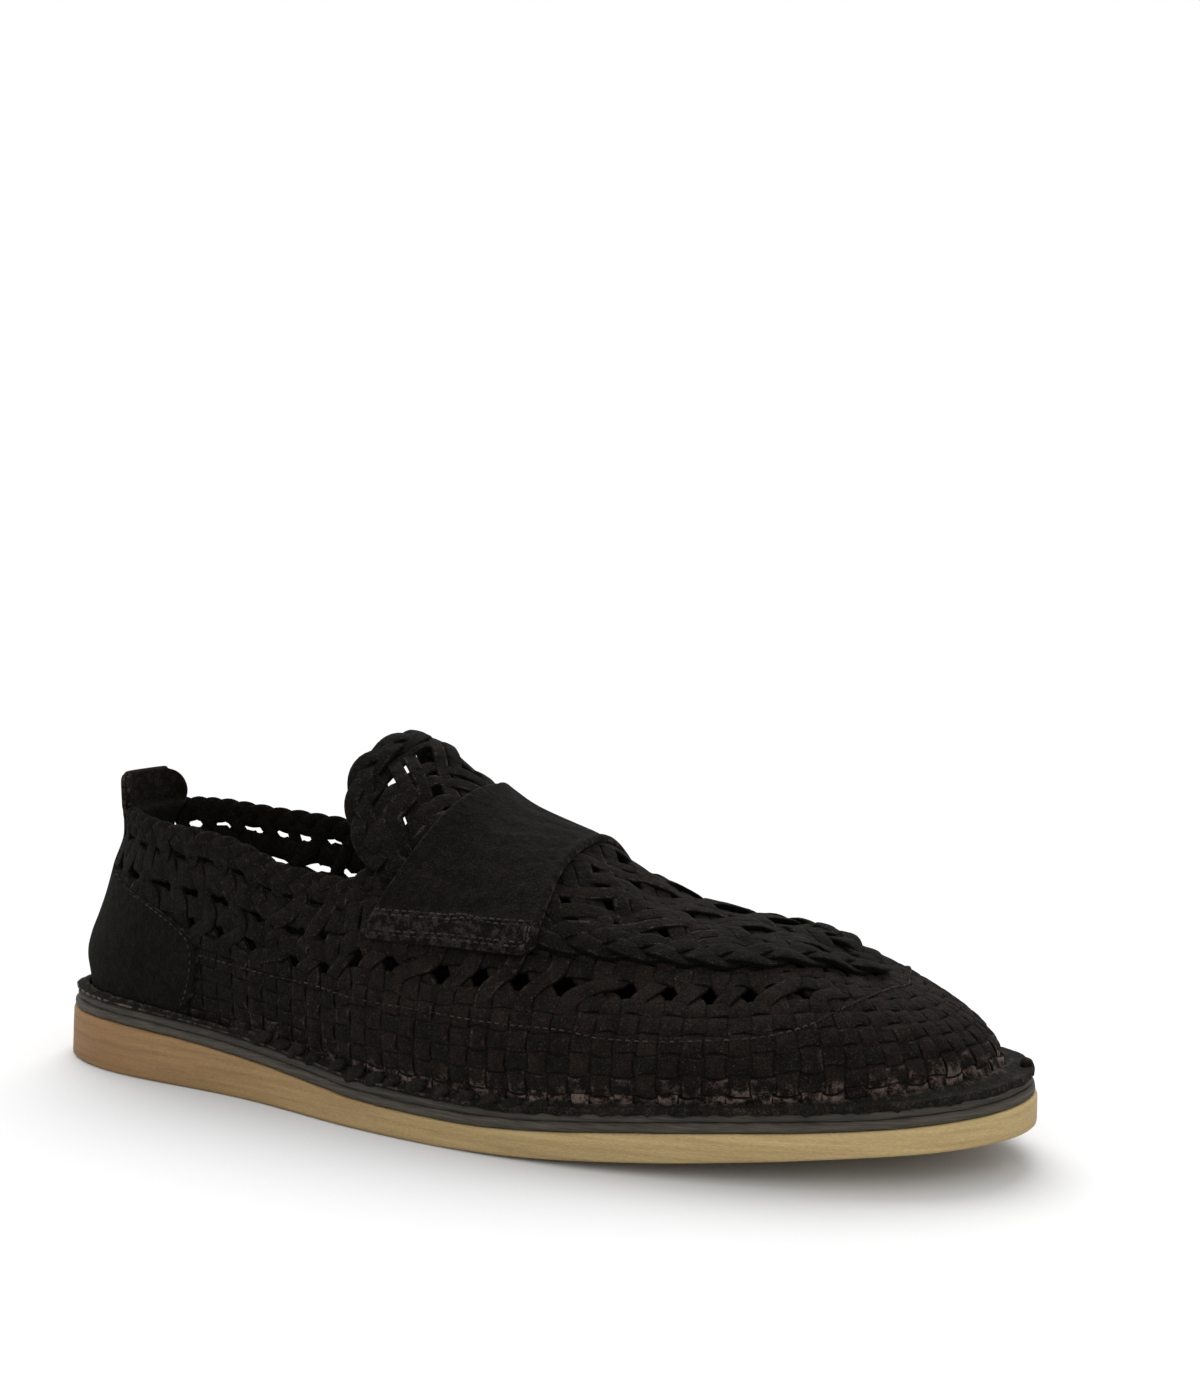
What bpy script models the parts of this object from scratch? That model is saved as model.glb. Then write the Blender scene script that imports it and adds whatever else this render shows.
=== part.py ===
"""Woven suede slip-on shoe for the right foot, built in layers from the floor up.

The frame is in metres: +X towards the toe, +Y towards the inner (medial) side, +Z up, and the
origin on the floor under the middle of the sole. Shapes are worked out in millimetres, in
stations counted along the shoe from the back of the heel, and placed by to_frame().
"""

import math

import bmesh
import bpy
import numpy as np

MM = 0.001
SOLE_LENGTH = 300.0
GAP = 0.35  # clearance between pieces that meet

# ---------------------------------------------------------------- sizes along the shoe
# Outline of the sole seen from above: station, distance to the side (outer side negative).
SOLE_OUTLINE = (
    (-1.8, 0.0),
    (1.3, -17.4),
    (15.0, -29.2),
    (40.0, -35.5),
    (80.0, -38.2),
    (124.0, -47.2),
    (165.0, -53.0),
    (205.0, -51.3),
    (240.0, -45.0),
    (267.0, -35.8),
    (288.0, -21.5),
    (300.0, 3.0),
    (293.0, 23.5),
    (274.0, 39.5),
    (247.0, 49.0),
    (212.0, 52.4),
    (170.0, 46.2),
    (130.0, 36.0),
    (90.0, 32.0),
    (50.0, 33.2),
    (17.0, 29.2),
    (1.8, 17.4),
)
# Toe spring, the gap under the sole: station, height.
TOE_SPRING = (
    (152.0, 0.0),
    (175.0, 0.7),
    (205.0, 2.9),
    (240.0, 6.3),
    (262.0, 8.4),
    (282.0, 9.7),
    (300.0, 10.6),
)
# Top of the rubber over the floor, a wedge under the heel: station, height.
RUBBER_TOP = (
    (-1.8, 15.3),
    (30.0, 14.9),
    (50.0, 13.9),
    (65.0, 12.7),
    (80.0, 11.1),
    (95.0, 9.6),
    (110.0, 8.1),
    (121.0, 7.1),
    (140.0, 6.9),
    (158.0, 7.0),
    (172.0, 7.5),
    (190.0, 9.0),
    (210.0, 11.0),
    (230.0, 12.8),
    (250.0, 14.3),
    (266.0, 15.4),
    (282.0, 16.8),
    (293.0, 17.9),
    (300.0, 19.0),
)
MIDSOLE_LAYER = 2.3
INSOLE_THICK = 2.4
BOTTOM_ROUND = 0.9  # the rubber's rounded lower edge
# How far the rubber's side flares out towards the floor: station, width.
FLARE = ((-1.8, 0.4), (60.0, 1.2), (112.0, 2.3), (155.0, 0.6), (180.0, 0.0))

# Margin of sole that stands out beyond the upper: station, width.
MARGIN = ((-1.8, 10.0), (15.0, 8.8), (40.0, 7.6), (120.0, 7.0), (240.0, 7.4), (270.0, 8.6), (300.0, 11.2))

# Crown line of the last, over the middle of the foot: station, height, fullness of the section.
CROWN = (
    (45.0, 126.0, 2.3),
    (80.0, 113.0, 2.2),
    (105.0, 101.0, 2.0),
    (113.0, 99.6, 2.0),
    (122.0, 97.0, 2.0),
    (131.0, 91.0, 2.0),
    (145.0, 81.4, 2.0),
    (160.0, 75.2, 2.1),
    (176.0, 69.2, 2.2),
    (186.0, 63.0, 2.3),
    (198.0, 57.4, 2.4),
    (211.0, 54.0, 2.5),
    (226.0, 52.3, 2.3),
    (236.0, 50.2, 1.85),
)
CROWN_SIDE = 2.5  # the crown lies this far to the inner side
TOE_FAN = (190.0, 236.0)  # from the first station on, sections fan out to this end of the crown
HEEL_FAN = (60.0, 45.0)  # and round the heel: first station, crown end
# Back curve of the heel: height over the sole, how far the wall has moved inwards.
HEEL_CURVE = (
    (0.0, 0.0),
    (6.0, -0.8),
    (11.0, -1.5),
    (16.0, -0.4),
    (22.0, 2.0),
    (29.0, 4.5),
    (35.0, 6.2),
    (42.0, 8.0),
    (48.0, 9.4),
    (55.0, 10.1),
    (66.0, 9.6),
    (110.0, 9.6),
)
HEEL_CURVE_END = 78.0  # station where the wall no longer follows the heel curve
BULGE = ((0.0, 2.0), (60.0, 3.2), (235.0, 3.2), (270.0, 1.2), (289.0, 0.2))  # station, swell of the side

# Top line of the quarter: station, height.
COLLAR = ((0.0, 79.0), (20.0, 78.0), (45.0, 74.8), (85.0, 71.0), (118.0, 66.5))
COLLAR_SIDE_LIFT = 1.2  # inner side higher, outer side lower
# Further dip of the outer side towards the throat: station, depth.
COLLAR_DIP = (
    (0.0, 0.0),
    (20.0, -1.0),
    (45.0, -2.7),
    (60.0, -3.3),
    (67.0, -3.0),
    (77.0, -1.4),
    (83.0, 0.3),
    (90.0, 1.6),
    (98.0, 1.8),
    (110.0, 1.2),
    (118.0, 0.8),
)
THROAT_START = 118.0  # where the collar ends and the plug begins
# Half girth of the plug, from the crown down over the surface: station at the foot, girth.
PLUG_GIRTH = (
    (105.0, 47.0),
    (118.0, 47.0),
    (150.0, 47.0),
    (166.0, 46.4),
    (177.0, 44.2),
    (185.0, 40.6),
    (193.0, 37.2),
    (203.0, 34.4),
    (213.0, 32.5),
    (226.0, 31.0),
    (241.0, 28.2),
    (256.0, 24.8),
    (272.0, 23.7),
    (289.0, 23.6),
)
PLUG_LAP = 3.0
# Rear edge of the plug, the rounded tongue: share of the girth, station.
PLUG_REAR = ((0.0, 109.5), (0.22, 106.5), (0.42, 103.5), (0.6, 105.5), (0.8, 110.5), (1.0, 119.0))
PLUG_THICK = 1.9
PLUG_BASE = 2.75  # the plug's inner face lies this far off the last, just clear of the wall

# ---------------------------------------------------------------- weave
COLUMNS = 96  # strips that stand up round the whole shoe
WALL = 2.1
STRIP_RAISE = 0.9
BRAID_RAISE = 1.4
# Edges of the rows of the weave, as shares of the wall's height.
QUARTER_ROWS = (0.0, 0.095, 0.19, 0.285, 0.38, 0.475, 0.535, 0.635, 0.685, 0.782, 0.832, 1.0)
VAMP_ROWS = (0.0, 0.125, 0.262, 0.4, 0.54, 0.68, 0.8, 0.92, 0.94, 0.96, 0.98, 1.0)
ROWS_CHANGE = (95.0, 180.0)
COLLAR_OPEN_ROWS, COLLAR_OPEN = (7, 9), (18.0, 110.0)
LONG_OPEN_ROW, LONG_OPEN = 5, (60.0, 276.0)  # this open row runs on from the quarter round the vamp
EDGE_ROW = 10
PLUG_LENGTHS, PLUG_ACROSS = 23, 7

# ---------------------------------------------------------------- strap, counter and tab
STRAP_THICK, STRAP_RIM = 1.8, 0.7
STRAP_FOOT = ((118.0, 51.0), (180.0, 48.2))  # height of the strap's lower edge: station, height
# Edges of the strap: share of the way down from the crown, rear station, front station.
STRAP_EDGES = (
    (0.0, 137.5, 171.4),
    (0.35, 134.2, 172.0),
    (0.7, 129.4, 174.0),
    (1.0, 121.6, 175.5),
)
COUNTER_THICK = 1.4
COUNTER_GAP = 0.5
# Heel counter and backstay in one piece: height up the wall, half width round the heel.
COUNTER_SHAPE = (
    (1.2, 63.0),
    (5.0, 65.3),
    (12.0, 68.3),
    (19.0, 69.6),
    (24.0, 68.2),
    (27.0, 63.0),
    (31.0, 51.0),
    (34.0, 36.0),
    (37.0, 23.0),
    (41.0, 14.5),
    (47.0, 12.0),
    (54.0, 14.0),
    (58.0, 18.6),
    (62.5, 19.4),
    (66.4, 18.2),
    (68.3, 14.6),
)
COUNTER_ROWS = (1.2, 5.6, 11.2, 16.8, 22.4, 26, 29, 31, 32.5, 33.7, 34.8, 36, 37.2, 39, 42, 48, 54)
TAB_INNER_DROP = 9.0  # the tab's inner leaf hangs this far below the collar's edge
TAB_THIN = 0.7  # each face of the tab draws in this much above the collar
RAND_HEIGHT, RAND_EDGE, RAND_INSET = 2.6, 0.9, 1.3

# ---------------------------------------------------------------- curves and tables
def smooth(t):
    t = np.clip(t, 0.0, 1.0)
    return t * t * (3.0 - 2.0 * t)


def from_table(rows, at, column=1):
    """Smooth curve through a table's rows that never overshoots them."""
    rows = np.asarray(rows, float)
    x, y = rows[:, 0], rows[:, column]
    step = np.diff(x)
    rise = np.diff(y) / step
    slope = np.zeros(len(x))
    slope[0], slope[-1] = rise[0], rise[-1]
    same = rise[:-1] * rise[1:] > 0
    inner = 2.0 * rise[:-1] * rise[1:] / np.where(same, rise[:-1] + rise[1:], 1.0)
    slope[1:-1] = np.where(same, inner, 0.0)
    at = np.clip(np.asarray(at, float), x[0], x[-1])
    k = np.clip(np.searchsorted(x, at) - 1, 0, len(step) - 1)
    h = step[k]
    t = (at - x[k]) / h
    return (
        y[k] * (1 + 2 * t) * (1 - t) ** 2
        + h * slope[k] * t * (1 - t) ** 2
        + y[k + 1] * t * t * (3 - 2 * t)
        + h * slope[k + 1] * t * t * (t - 1)
    )


def closed_curve(points, count):
    """Evenly spaced points on a closed cubic spline through the given ones."""
    p = np.asarray(points, float)
    n = len(p)
    h = np.linalg.norm(np.roll(p, -1, 0) - p, axis=1)
    before = np.roll(h, 1)
    rise = (np.roll(p, -1, 0) - p) / h[:, None]
    system = np.zeros((n, n))
    for i in range(n):
        system[i, i - 1] = h[i]
        system[i, i] = 2.0 * (before[i] + h[i])
        system[i, (i + 1) % n] = before[i]
    slope = np.linalg.solve(system, 3.0 * (h[:, None] * np.roll(rise, 1, 0) + before[:, None] * rise))
    fine = []
    for i in range(n):
        t = np.linspace(0.0, 1.0, 40, endpoint=False)[:, None]
        j = (i + 1) % n
        fine.append(
            p[i] * (1 + 2 * t) * (1 - t) ** 2
            + h[i] * slope[i] * t * (1 - t) ** 2
            + p[j] * t * t * (3 - 2 * t)
            + h[i] * slope[j] * t * t * (t - 1)
        )
    return evenly(np.vstack(fine), count)


def evenly(ring, count):
    """A closed ring resampled to equal steps, from its first point."""
    loop = np.vstack([ring, ring[:1]])
    run = np.r_[0.0, np.cumsum(np.linalg.norm(np.diff(loop, axis=0), axis=1))]
    at = np.linspace(0.0, run[-1], count, endpoint=False)
    return np.stack([np.interp(at, run, loop[:, k]) for k in range(loop.shape[1])], axis=1)


def inset(ring, amount):
    """The ring moved inwards by an amount, which may differ from point to point."""
    tangent = np.roll(ring, -1, 0) - np.roll(ring, 1, 0)
    tangent /= np.linalg.norm(tangent, axis=1)[:, None]
    inward = np.stack([-tangent[:, 1], tangent[:, 0]], axis=1)
    return ring + inward * np.broadcast_to(amount, len(ring))[:, None]


# ---------------------------------------------------------------- heights of the sole
def floor_gap(station):
    """Height of the sole's underside: flat to the ball, then the toe spring."""
    return from_table(TOE_SPRING, station)


def rubber_top(station):
    return from_table(RUBBER_TOP, station)


def sole_top(station):
    return rubber_top(station) + 2 * (GAP + MIDSOLE_LAYER)


# ---------------------------------------------------------------- the last
SOLE_RING = closed_curve(SOLE_OUTLINE, 1200)
TREAD_RING = inset(SOLE_RING, -from_table(FLARE, SOLE_RING[:, 0]))
FOOT_RING = evenly(inset(SOLE_RING, from_table(MARGIN, SOLE_RING[:, 0])), 1200)
FOOT_RUN = float(np.linalg.norm(np.roll(FOOT_RING, -1, 0) - FOOT_RING, axis=1).sum())


def foot_point(run):
    """Station and side of the wall's foot, at a distance round it from the heel's back."""
    at = np.mod(np.asarray(run, float) / FOOT_RUN, 1.0) * len(FOOT_RING)
    low = np.floor(at).astype(int) % len(FOOT_RING)
    part = (at - np.floor(at))[..., None]
    return FOOT_RING[low] * (1 - part) + FOOT_RING[(low + 1) % len(FOOT_RING)] * part


TOE_END = float(FOOT_RING[:, 0].max())
TOE_SHARE = float(np.argmax(FOOT_RING[:, 0])) / len(FOOT_RING)


def crown_station(station):
    """Station on the crown that a section from this station of the foot runs to."""
    start, crown_end = TOE_FAN
    ahead = np.linspace(start, crown_end, 60)
    foot = ahead + (TOE_END - crown_end) * ((ahead - start) / (crown_end - start)) ** 2
    toe = np.interp(station, foot, ahead)
    first, heel_crown = HEEL_FAN
    back = station + heel_crown * (np.clip(first - station, 0, first) / first) ** 2
    return np.where(station > start, toe, np.where(station < first, back, station))


PROFILE_POINTS = 48


def profile(run):
    """Section of the last's surface from the wall's foot to the crown, as points."""
    foot = foot_point(run)
    station = foot[0]
    c = float(crown_station(station))
    crown = np.array([c, CROWN_SIDE])
    low = float(sole_top(station)) + GAP
    high = float(from_table(CROWN, c))
    full = 2.0 / float(from_table(CROWN, c, 2))
    angle = np.linspace(0.0, math.pi / 2, PROFILE_POINTS)
    inward = 1.0 - np.cos(angle) ** full
    inward[-1] = 1.0
    up = np.sin(angle) ** full
    reach = np.linalg.norm(crown - foot)
    towards = (crown - foot) / reach
    toe_share = smooth((c - TOE_FAN[0]) / (TOE_FAN[1] - TOE_FAN[0]))
    fall = (from_table(CROWN, c) - from_table(CROWN, c - 6.0)) / 6.0
    z = low + (high - low) * up - toe_share * fall * towards[0] * reach * inward * (1 - inward)
    swell = from_table(BULGE, station) * np.sin(math.pi * np.clip(up * 1.5, 0.0, 1.0)) ** 0.8
    distance = reach * inward - swell
    heel = 1.0 - smooth(station / HEEL_CURVE_END)
    distance = distance * (1 - heel) + from_table(HEEL_CURVE, z - low) * heel
    flat = foot[None, :] + towards[None, :] * distance[:, None]
    return np.column_stack([flat, z])


def walk(points, along):
    """Points at these lengths along a section."""
    run = np.r_[0.0, np.cumsum(np.linalg.norm(np.diff(points, axis=0), axis=1))]
    return np.stack([np.interp(along, run, points[:, k]) for k in range(3)], axis=1)


def length_of(points):
    return float(np.linalg.norm(np.diff(points, axis=0), axis=1).sum())


def plug_girth(station):
    """Half girth of the plug on the section from this station of the foot."""
    return float(from_table(PLUG_GIRTH, station))


def top_length(run, points):
    """Length up the section to the collar, or to the edge of the throat."""
    station = float(foot_point(run)[0])
    side = -1.0 if foot_point(run)[1] < CROWN_SIDE else 1.0
    lengths = np.r_[0.0, np.cumsum(np.linalg.norm(np.diff(points, axis=0), axis=1))]
    lift = side * COLLAR_SIDE_LIFT * smooth(station / 40.0)
    if side < 0:
        lift -= from_table(COLLAR_DIP, station)
    collar = float(np.interp(from_table(COLLAR, station) + lift, points[:, 2], lengths))
    throat = float(lengths[-1]) - plug_girth(station) + PLUG_LAP
    share = float(smooth((station - THROAT_START + 5.0) / 10.0))
    return collar * (1 - share) + throat * share


def surface(run, along, offset):
    """Points of the last at a distance round the foot, lengths up it and an offset outwards."""
    points = profile(run)
    beside = profile(run + 1.0)
    on, on_beside = walk(points, along), walk(beside, along)
    up = walk(points, np.asarray(along) + 0.8) - walk(points, np.asarray(along) - 0.8)
    normal = np.cross(on_beside - on, up)
    normal /= np.maximum(np.linalg.norm(normal, axis=1), 1e-9)[:, None]
    spot = on + normal * np.broadcast_to(offset, len(on))[:, None]
    spot[:, 2] = np.maximum(spot[:, 2], sole_top(spot[:, 0]) + GAP)
    return spot


# ---------------------------------------------------------------- solids
def to_frame(points):
    """Millimetres by station, side and height to metres about the middle of the sole."""
    middle = (TREAD_RING.min(axis=0) + TREAD_RING.max(axis=0)) / 2
    p = np.asarray(points, float)
    return np.column_stack([p[:, :2] - middle, p[:, 2]]) * MM


def make_object(name, mesh_builder, material):
    mesh = bpy.data.meshes.new(name)
    bm = bmesh.new()
    mesh_builder(bm)
    bmesh.ops.triangulate(bm, faces=bm.faces)
    bm.to_mesh(mesh)
    bm.free()
    mesh.materials.append(material)
    part = bpy.data.objects.new(name, mesh)
    SHOE.objects.link(part)
    return part


def shell_builder(inner, outer, cells, raised=None):
    """A wall between two matching sets of points. Missing cells leave gaps through it.

    Each cell is four point numbers, anticlockwise from outside; raised lifts its middle.
    """
    raised = raised or {}

    def build(bm):
        used = sorted({i for cell in cells for i in cell})
        low = {i: bm.verts.new(inner[i]) for i in used}
        high = {i: bm.verts.new(outer[i]) for i in used}
        sides = {}
        for cell in cells:
            for a, b in zip(cell, cell[1:] + cell[:1]):
                sides[(a, b)] = True
        for cell in cells:
            bm.faces.new([low[i] for i in reversed(cell)])
            ring = [high[i] for i in cell]
            if cell in raised:
                top = bm.verts.new(raised[cell])
                for a, b in zip(ring, ring[1:] + ring[:1]):
                    bm.faces.new((a, b, top))
            else:
                bm.faces.new(ring)
            for a, b in zip(cell, cell[1:] + cell[:1]):
                if (b, a) not in sides:
                    bm.faces.new((high[b], high[a], low[a], low[b]))

    return build


def slab_builder(levels, lanes=30):
    """A slab as wide as its rings; each level is a ring and a height for each station."""

    def build(bm):
        loops = []
        for ring, height in levels:
            front, back = int(np.argmax(ring[:, 0])), int(np.argmin(ring[:, 0]))
            turn = np.roll(ring, -back, axis=0)
            front = (front - back) % len(ring)
            outer_side = turn[: front + 1]
            inner_side = np.vstack([turn[front:], turn[:1]])[::-1]
            share = (1 - np.cos(np.linspace(0.0, math.pi, lanes + 1))) / 2
            station = turn[0, 0] + share * (turn[front, 0] - turn[0, 0])
            left = np.interp(station, outer_side[:, 0], outer_side[:, 1])
            right = np.interp(station, inner_side[:, 0], inner_side[:, 1])
            z = height(station)
            left_points = to_frame(np.column_stack([station, left, z]))
            right_points = to_frame(np.column_stack([station, right, z]))
            a = [bm.verts.new(p) for p in left_points]
            b = [a[0]] + [bm.verts.new(p) for p in right_points[1:-1]] + [a[-1]]
            loops.append((a, b))
        for (a, b), flip in ((loops[0], True), (loops[-1], False)):
            for k in range(lanes):
                corners = [a[k], a[k + 1], b[k + 1], b[k]]
                corners = [v for i, v in enumerate(corners) if v not in corners[:i]]
                bm.faces.new(corners[::-1] if flip else corners)
        for (a, b), (c, d) in zip(loops, loops[1:]):
            for k in range(lanes):
                bm.faces.new((a[k], a[k + 1], c[k + 1], c[k]))
                bm.faces.new((b[k + 1], b[k], d[k], d[k + 1]))

    return build


def blend(station, back_value, front_value, start, end):
    share = smooth((station - start) / (end - start))
    return back_value + (front_value - back_value) * share


def wall_rows(station, top):
    """Lengths up the wall at which the rows of the weave begin and end."""
    quarter, vamp = np.array(QUARTER_ROWS), np.array(VAMP_ROWS)
    return blend(station, quarter, vamp, *ROWS_CHANGE) * top


def counter_covers(run, height):
    """Whether the heel counter or its tab lies over this place on the wall."""
    run = min(run, FOOT_RUN - run)
    width = max(float(from_table(COUNTER_SHAPE, height + step)) for step in (-3.6, 0.0, 3.6))
    return run < width + 3.6


def strap_drop(station, side):
    """Length from the crown down to the strap's lower edge."""
    points = profile(section_for_crown(station, side))
    lengths = np.r_[0.0, np.cumsum(np.linalg.norm(np.diff(points, axis=0), axis=1))]
    foot = float(np.interp(from_table(STRAP_FOOT, station), points[:, 2], lengths))
    return float(lengths[-1]) - foot


def strap_covers(run, down):
    """Whether the strap lies over this place, so far down from the crown."""
    station = float(crown_station(foot_point(run)[0]))
    if not STRAP_EDGES[-1][1] - 6 < station < STRAP_EDGES[-1][2] + 4:
        return False
    share = down / strap_drop(station, -1 if run < FOOT_RUN * TOE_SHARE else 1)
    rear = float(from_table(STRAP_EDGES, min(share, 1.0)))
    front = float(from_table(STRAP_EDGES, min(share, 1.0), 2))
    return share < 1.1 and rear - 5.5 < station < front + 3.4


def build_upper():
    """The woven wall: closed round the foot, open above and below, with its gaps cut."""
    rows = len(QUARTER_ROWS) - 1
    inner, outer, lift, covered = [], [], {}, set()
    for i in range(COLUMNS):
        run = FOOT_RUN * (i + 0.5) / COLUMNS
        points = profile(run)
        station = float(foot_point(run)[0])
        along = wall_rows(station, top_length(run, points))
        middles = (along[1:] + along[:-1]) / 2
        inner.append(surface(run, along, 0.0))
        outer.append(surface(run, along, WALL))
        half_run = run + FOOT_RUN / COLUMNS / 2
        half_station = float(foot_point(half_run)[0])
        half_rows = wall_rows(half_station, top_length(half_run, profile(half_run)))
        half_middles = (half_rows[1:] + half_rows[:-1]) / 2
        for j in range(rows):
            here = float(walk(profile(half_run), [half_middles[j]])[0, 2])
            height = here - float(sole_top(half_station))
            down = length_of(profile(half_run)) - half_middles[j]
            smoothed = counter_covers(half_run % FOOT_RUN, height) or strap_covers(half_run, down)
            if smoothed:
                covered.add((i, j))
            under_plug = half_station > 104.0 and down < plug_girth(half_station) + 3.4
            if smoothed or under_plug or j == 0:
                continue
            over = (i + j) % 2 == 0
            raise_by = BRAID_RAISE if j == EDGE_ROW else STRIP_RAISE * (1.0 if over else 0.4)
            if middles[j] < RAND_HEIGHT + 1.5:
                continue
            lift[(i, j)] = surface(half_run, [half_middles[j]], WALL + raise_by)[0]
    inner = to_frame(np.vstack(inner))
    outer = to_frame(np.vstack(outer))
    cells, raised = [], {}
    for i in range(COLUMNS):
        run = FOOT_RUN * (i + 1.0) / COLUMNS
        station = float(foot_point(run)[0])
        for j in range(rows):
            collar_gap = j in COLLAR_OPEN_ROWS and i % 2 == (j // 2) % 2
            collar_gap = collar_gap and COLLAR_OPEN[0] < station < COLLAR_OPEN[1]
            long_gap = j == LONG_OPEN_ROW and i % 2 == 1 and LONG_OPEN[0] < station < LONG_OPEN[1]
            if (collar_gap or long_gap) and (i, j) not in covered:
                continue
            a, b = i * (rows + 1) + j, ((i + 1) % COLUMNS) * (rows + 1) + j
            cell = (a, b, b + 1, a + 1)
            cells.append(cell)
            if (i, j) in lift:
                raised[cell] = tuple(to_frame([lift[(i, j)]])[0])
    return shell_builder(inner, outer, cells, raised)


def section_for_crown(crown_at, side):
    """Distance round the foot of the section that meets the crown at this station."""
    start, crown_end = TOE_FAN
    station = crown_at
    if crown_at > start:
        share = (crown_at - start) / (crown_end - start)
        station = crown_at + (TOE_END - crown_end) * share**2
    half = FOOT_RUN * np.linspace(0.02, TOE_SHARE, 1500)
    if side > 0:
        half = FOOT_RUN * np.linspace(0.98, TOE_SHARE, 1500)
    stations = foot_point(half)[:, 0]
    return float(np.interp(station, np.maximum.accumulate(stations), half))


def plug_places():
    """Places of the plug's grid: for each side, rows of (run, share of the girth)."""
    sides = []
    for side in (-1, 1):
        rows = []
        for i in range(PLUG_LENGTHS + 1):
            row = []
            for j in range(PLUG_ACROSS + 1):
                share = j / PLUG_ACROSS
                rear = float(from_table(PLUG_REAR, share))
                t = i / PLUG_LENGTHS
                ahead = rear + (TOE_FAN[1] - rear) * t
                row.append((section_for_crown(ahead, side), share))
            rows.append(row)
        sides.append(rows)
    return sides


def on_section(run, share, girth, offset):
    """A point this share of a girth down from the crown on the section at run."""
    points = profile(run)
    down = length_of(points) - max(share * girth, 0.02)
    return surface(run, [down], offset)[0]


def build_plug():
    """Plug and tongue in one piece, lying over the edge of the throat."""
    numbers, inner, outer = {}, [], []

    def number(side, i, j):
        if j == 0 or i == PLUG_LENGTHS:
            side = 0
        return numbers.setdefault((side, i, j), len(numbers))

    places = plug_places()
    for s, side in enumerate((-1, 1)):
        for i in range(PLUG_LENGTHS + 1):
            for j in range(PLUG_ACROSS + 1):
                n = number(side, i, j)
                if n == len(inner):
                    run, share = places[s][i][j]
                    girth = plug_girth(float(foot_point(run)[0]))
                    inner.append(on_section(run, share, girth, PLUG_BASE))
                    outer.append(on_section(run, share, girth, PLUG_BASE + PLUG_THICK))
    cells, raised = [], {}
    for s, side in enumerate((-1, 1)):
        for i in range(PLUG_LENGTHS):
            for j in range(PLUG_ACROSS):
                a, b = number(side, i, j), number(side, i + 1, j)
                c, d = number(side, i + 1, j + 1), number(side, i, j + 1)
                cell = (a, d, c, b) if side < 0 else (a, b, c, d)
                spot = (places[s][i][j][0] + places[s][i + 1][j + 1][0]) / 2
                edge = j == PLUG_ACROSS - 1
                girth = plug_girth(float(foot_point(spot)[0]))
                covered = strap_covers(spot, (j + 0.5) / PLUG_ACROSS * girth)
                gap = not edge and not covered and i % 2 == 0 and (j + i // 2) % 2 == 1 and 0 < i
                gap = gap and j > 0 and i < PLUG_LENGTHS - 4
                if gap:
                    continue
                cells.append(cell)
                if not covered:
                    share = (j + 0.5) / PLUG_ACROSS
                    rise = BRAID_RAISE if edge else BRAID_RAISE * (0.8 if (i + j) % 2 else 0.4)
                    top = on_section(spot, share, girth, PLUG_BASE + PLUG_THICK + rise)
                    raised[cell] = tuple(to_frame([top])[0])
    return shell_builder(to_frame(inner), to_frame(outer), cells, raised)


def build_strap():
    """The saddle strap over the instep, down both sides of the plug onto the wall."""
    across, along = 24, 5
    high, low = PLUG_BASE + PLUG_THICK + GAP, WALL + GAP + 0.05
    inner, outer = [], []
    for i in range(across + 1):
        share = 2.0 * i / across - 1.0
        side = -1 if share < 0 else 1
        rear = float(from_table(STRAP_EDGES, abs(share)))
        front = float(from_table(STRAP_EDGES, abs(share), 2))
        for j in range(along + 1):
            t = j / along
            station = rear + (front - rear) * t
            run = section_for_crown(station, side)
            drop = abs(share) * strap_drop(station, side)
            past = drop - plug_girth(float(foot_point(run)[0]))
            base = high + (low - high) * float(smooth((past - 3.2) / 5.0))
            taper = 0.65 + 0.35 * float(smooth(t * 4))
            thick = STRAP_THICK * taper + STRAP_RIM * float(smooth((t - 0.7) / 0.3))
            inner.append(on_section(run, 1.0, drop, base))
            outer.append(on_section(run, 1.0, drop, base + thick))
    cells = []
    for i in range(across):
        for j in range(along):
            a = i * (along + 1) + j
            cells.append((a, a + 1, a + along + 2, a + along + 1))
    return shell_builder(to_frame(inner), to_frame(outer), cells)


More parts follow.
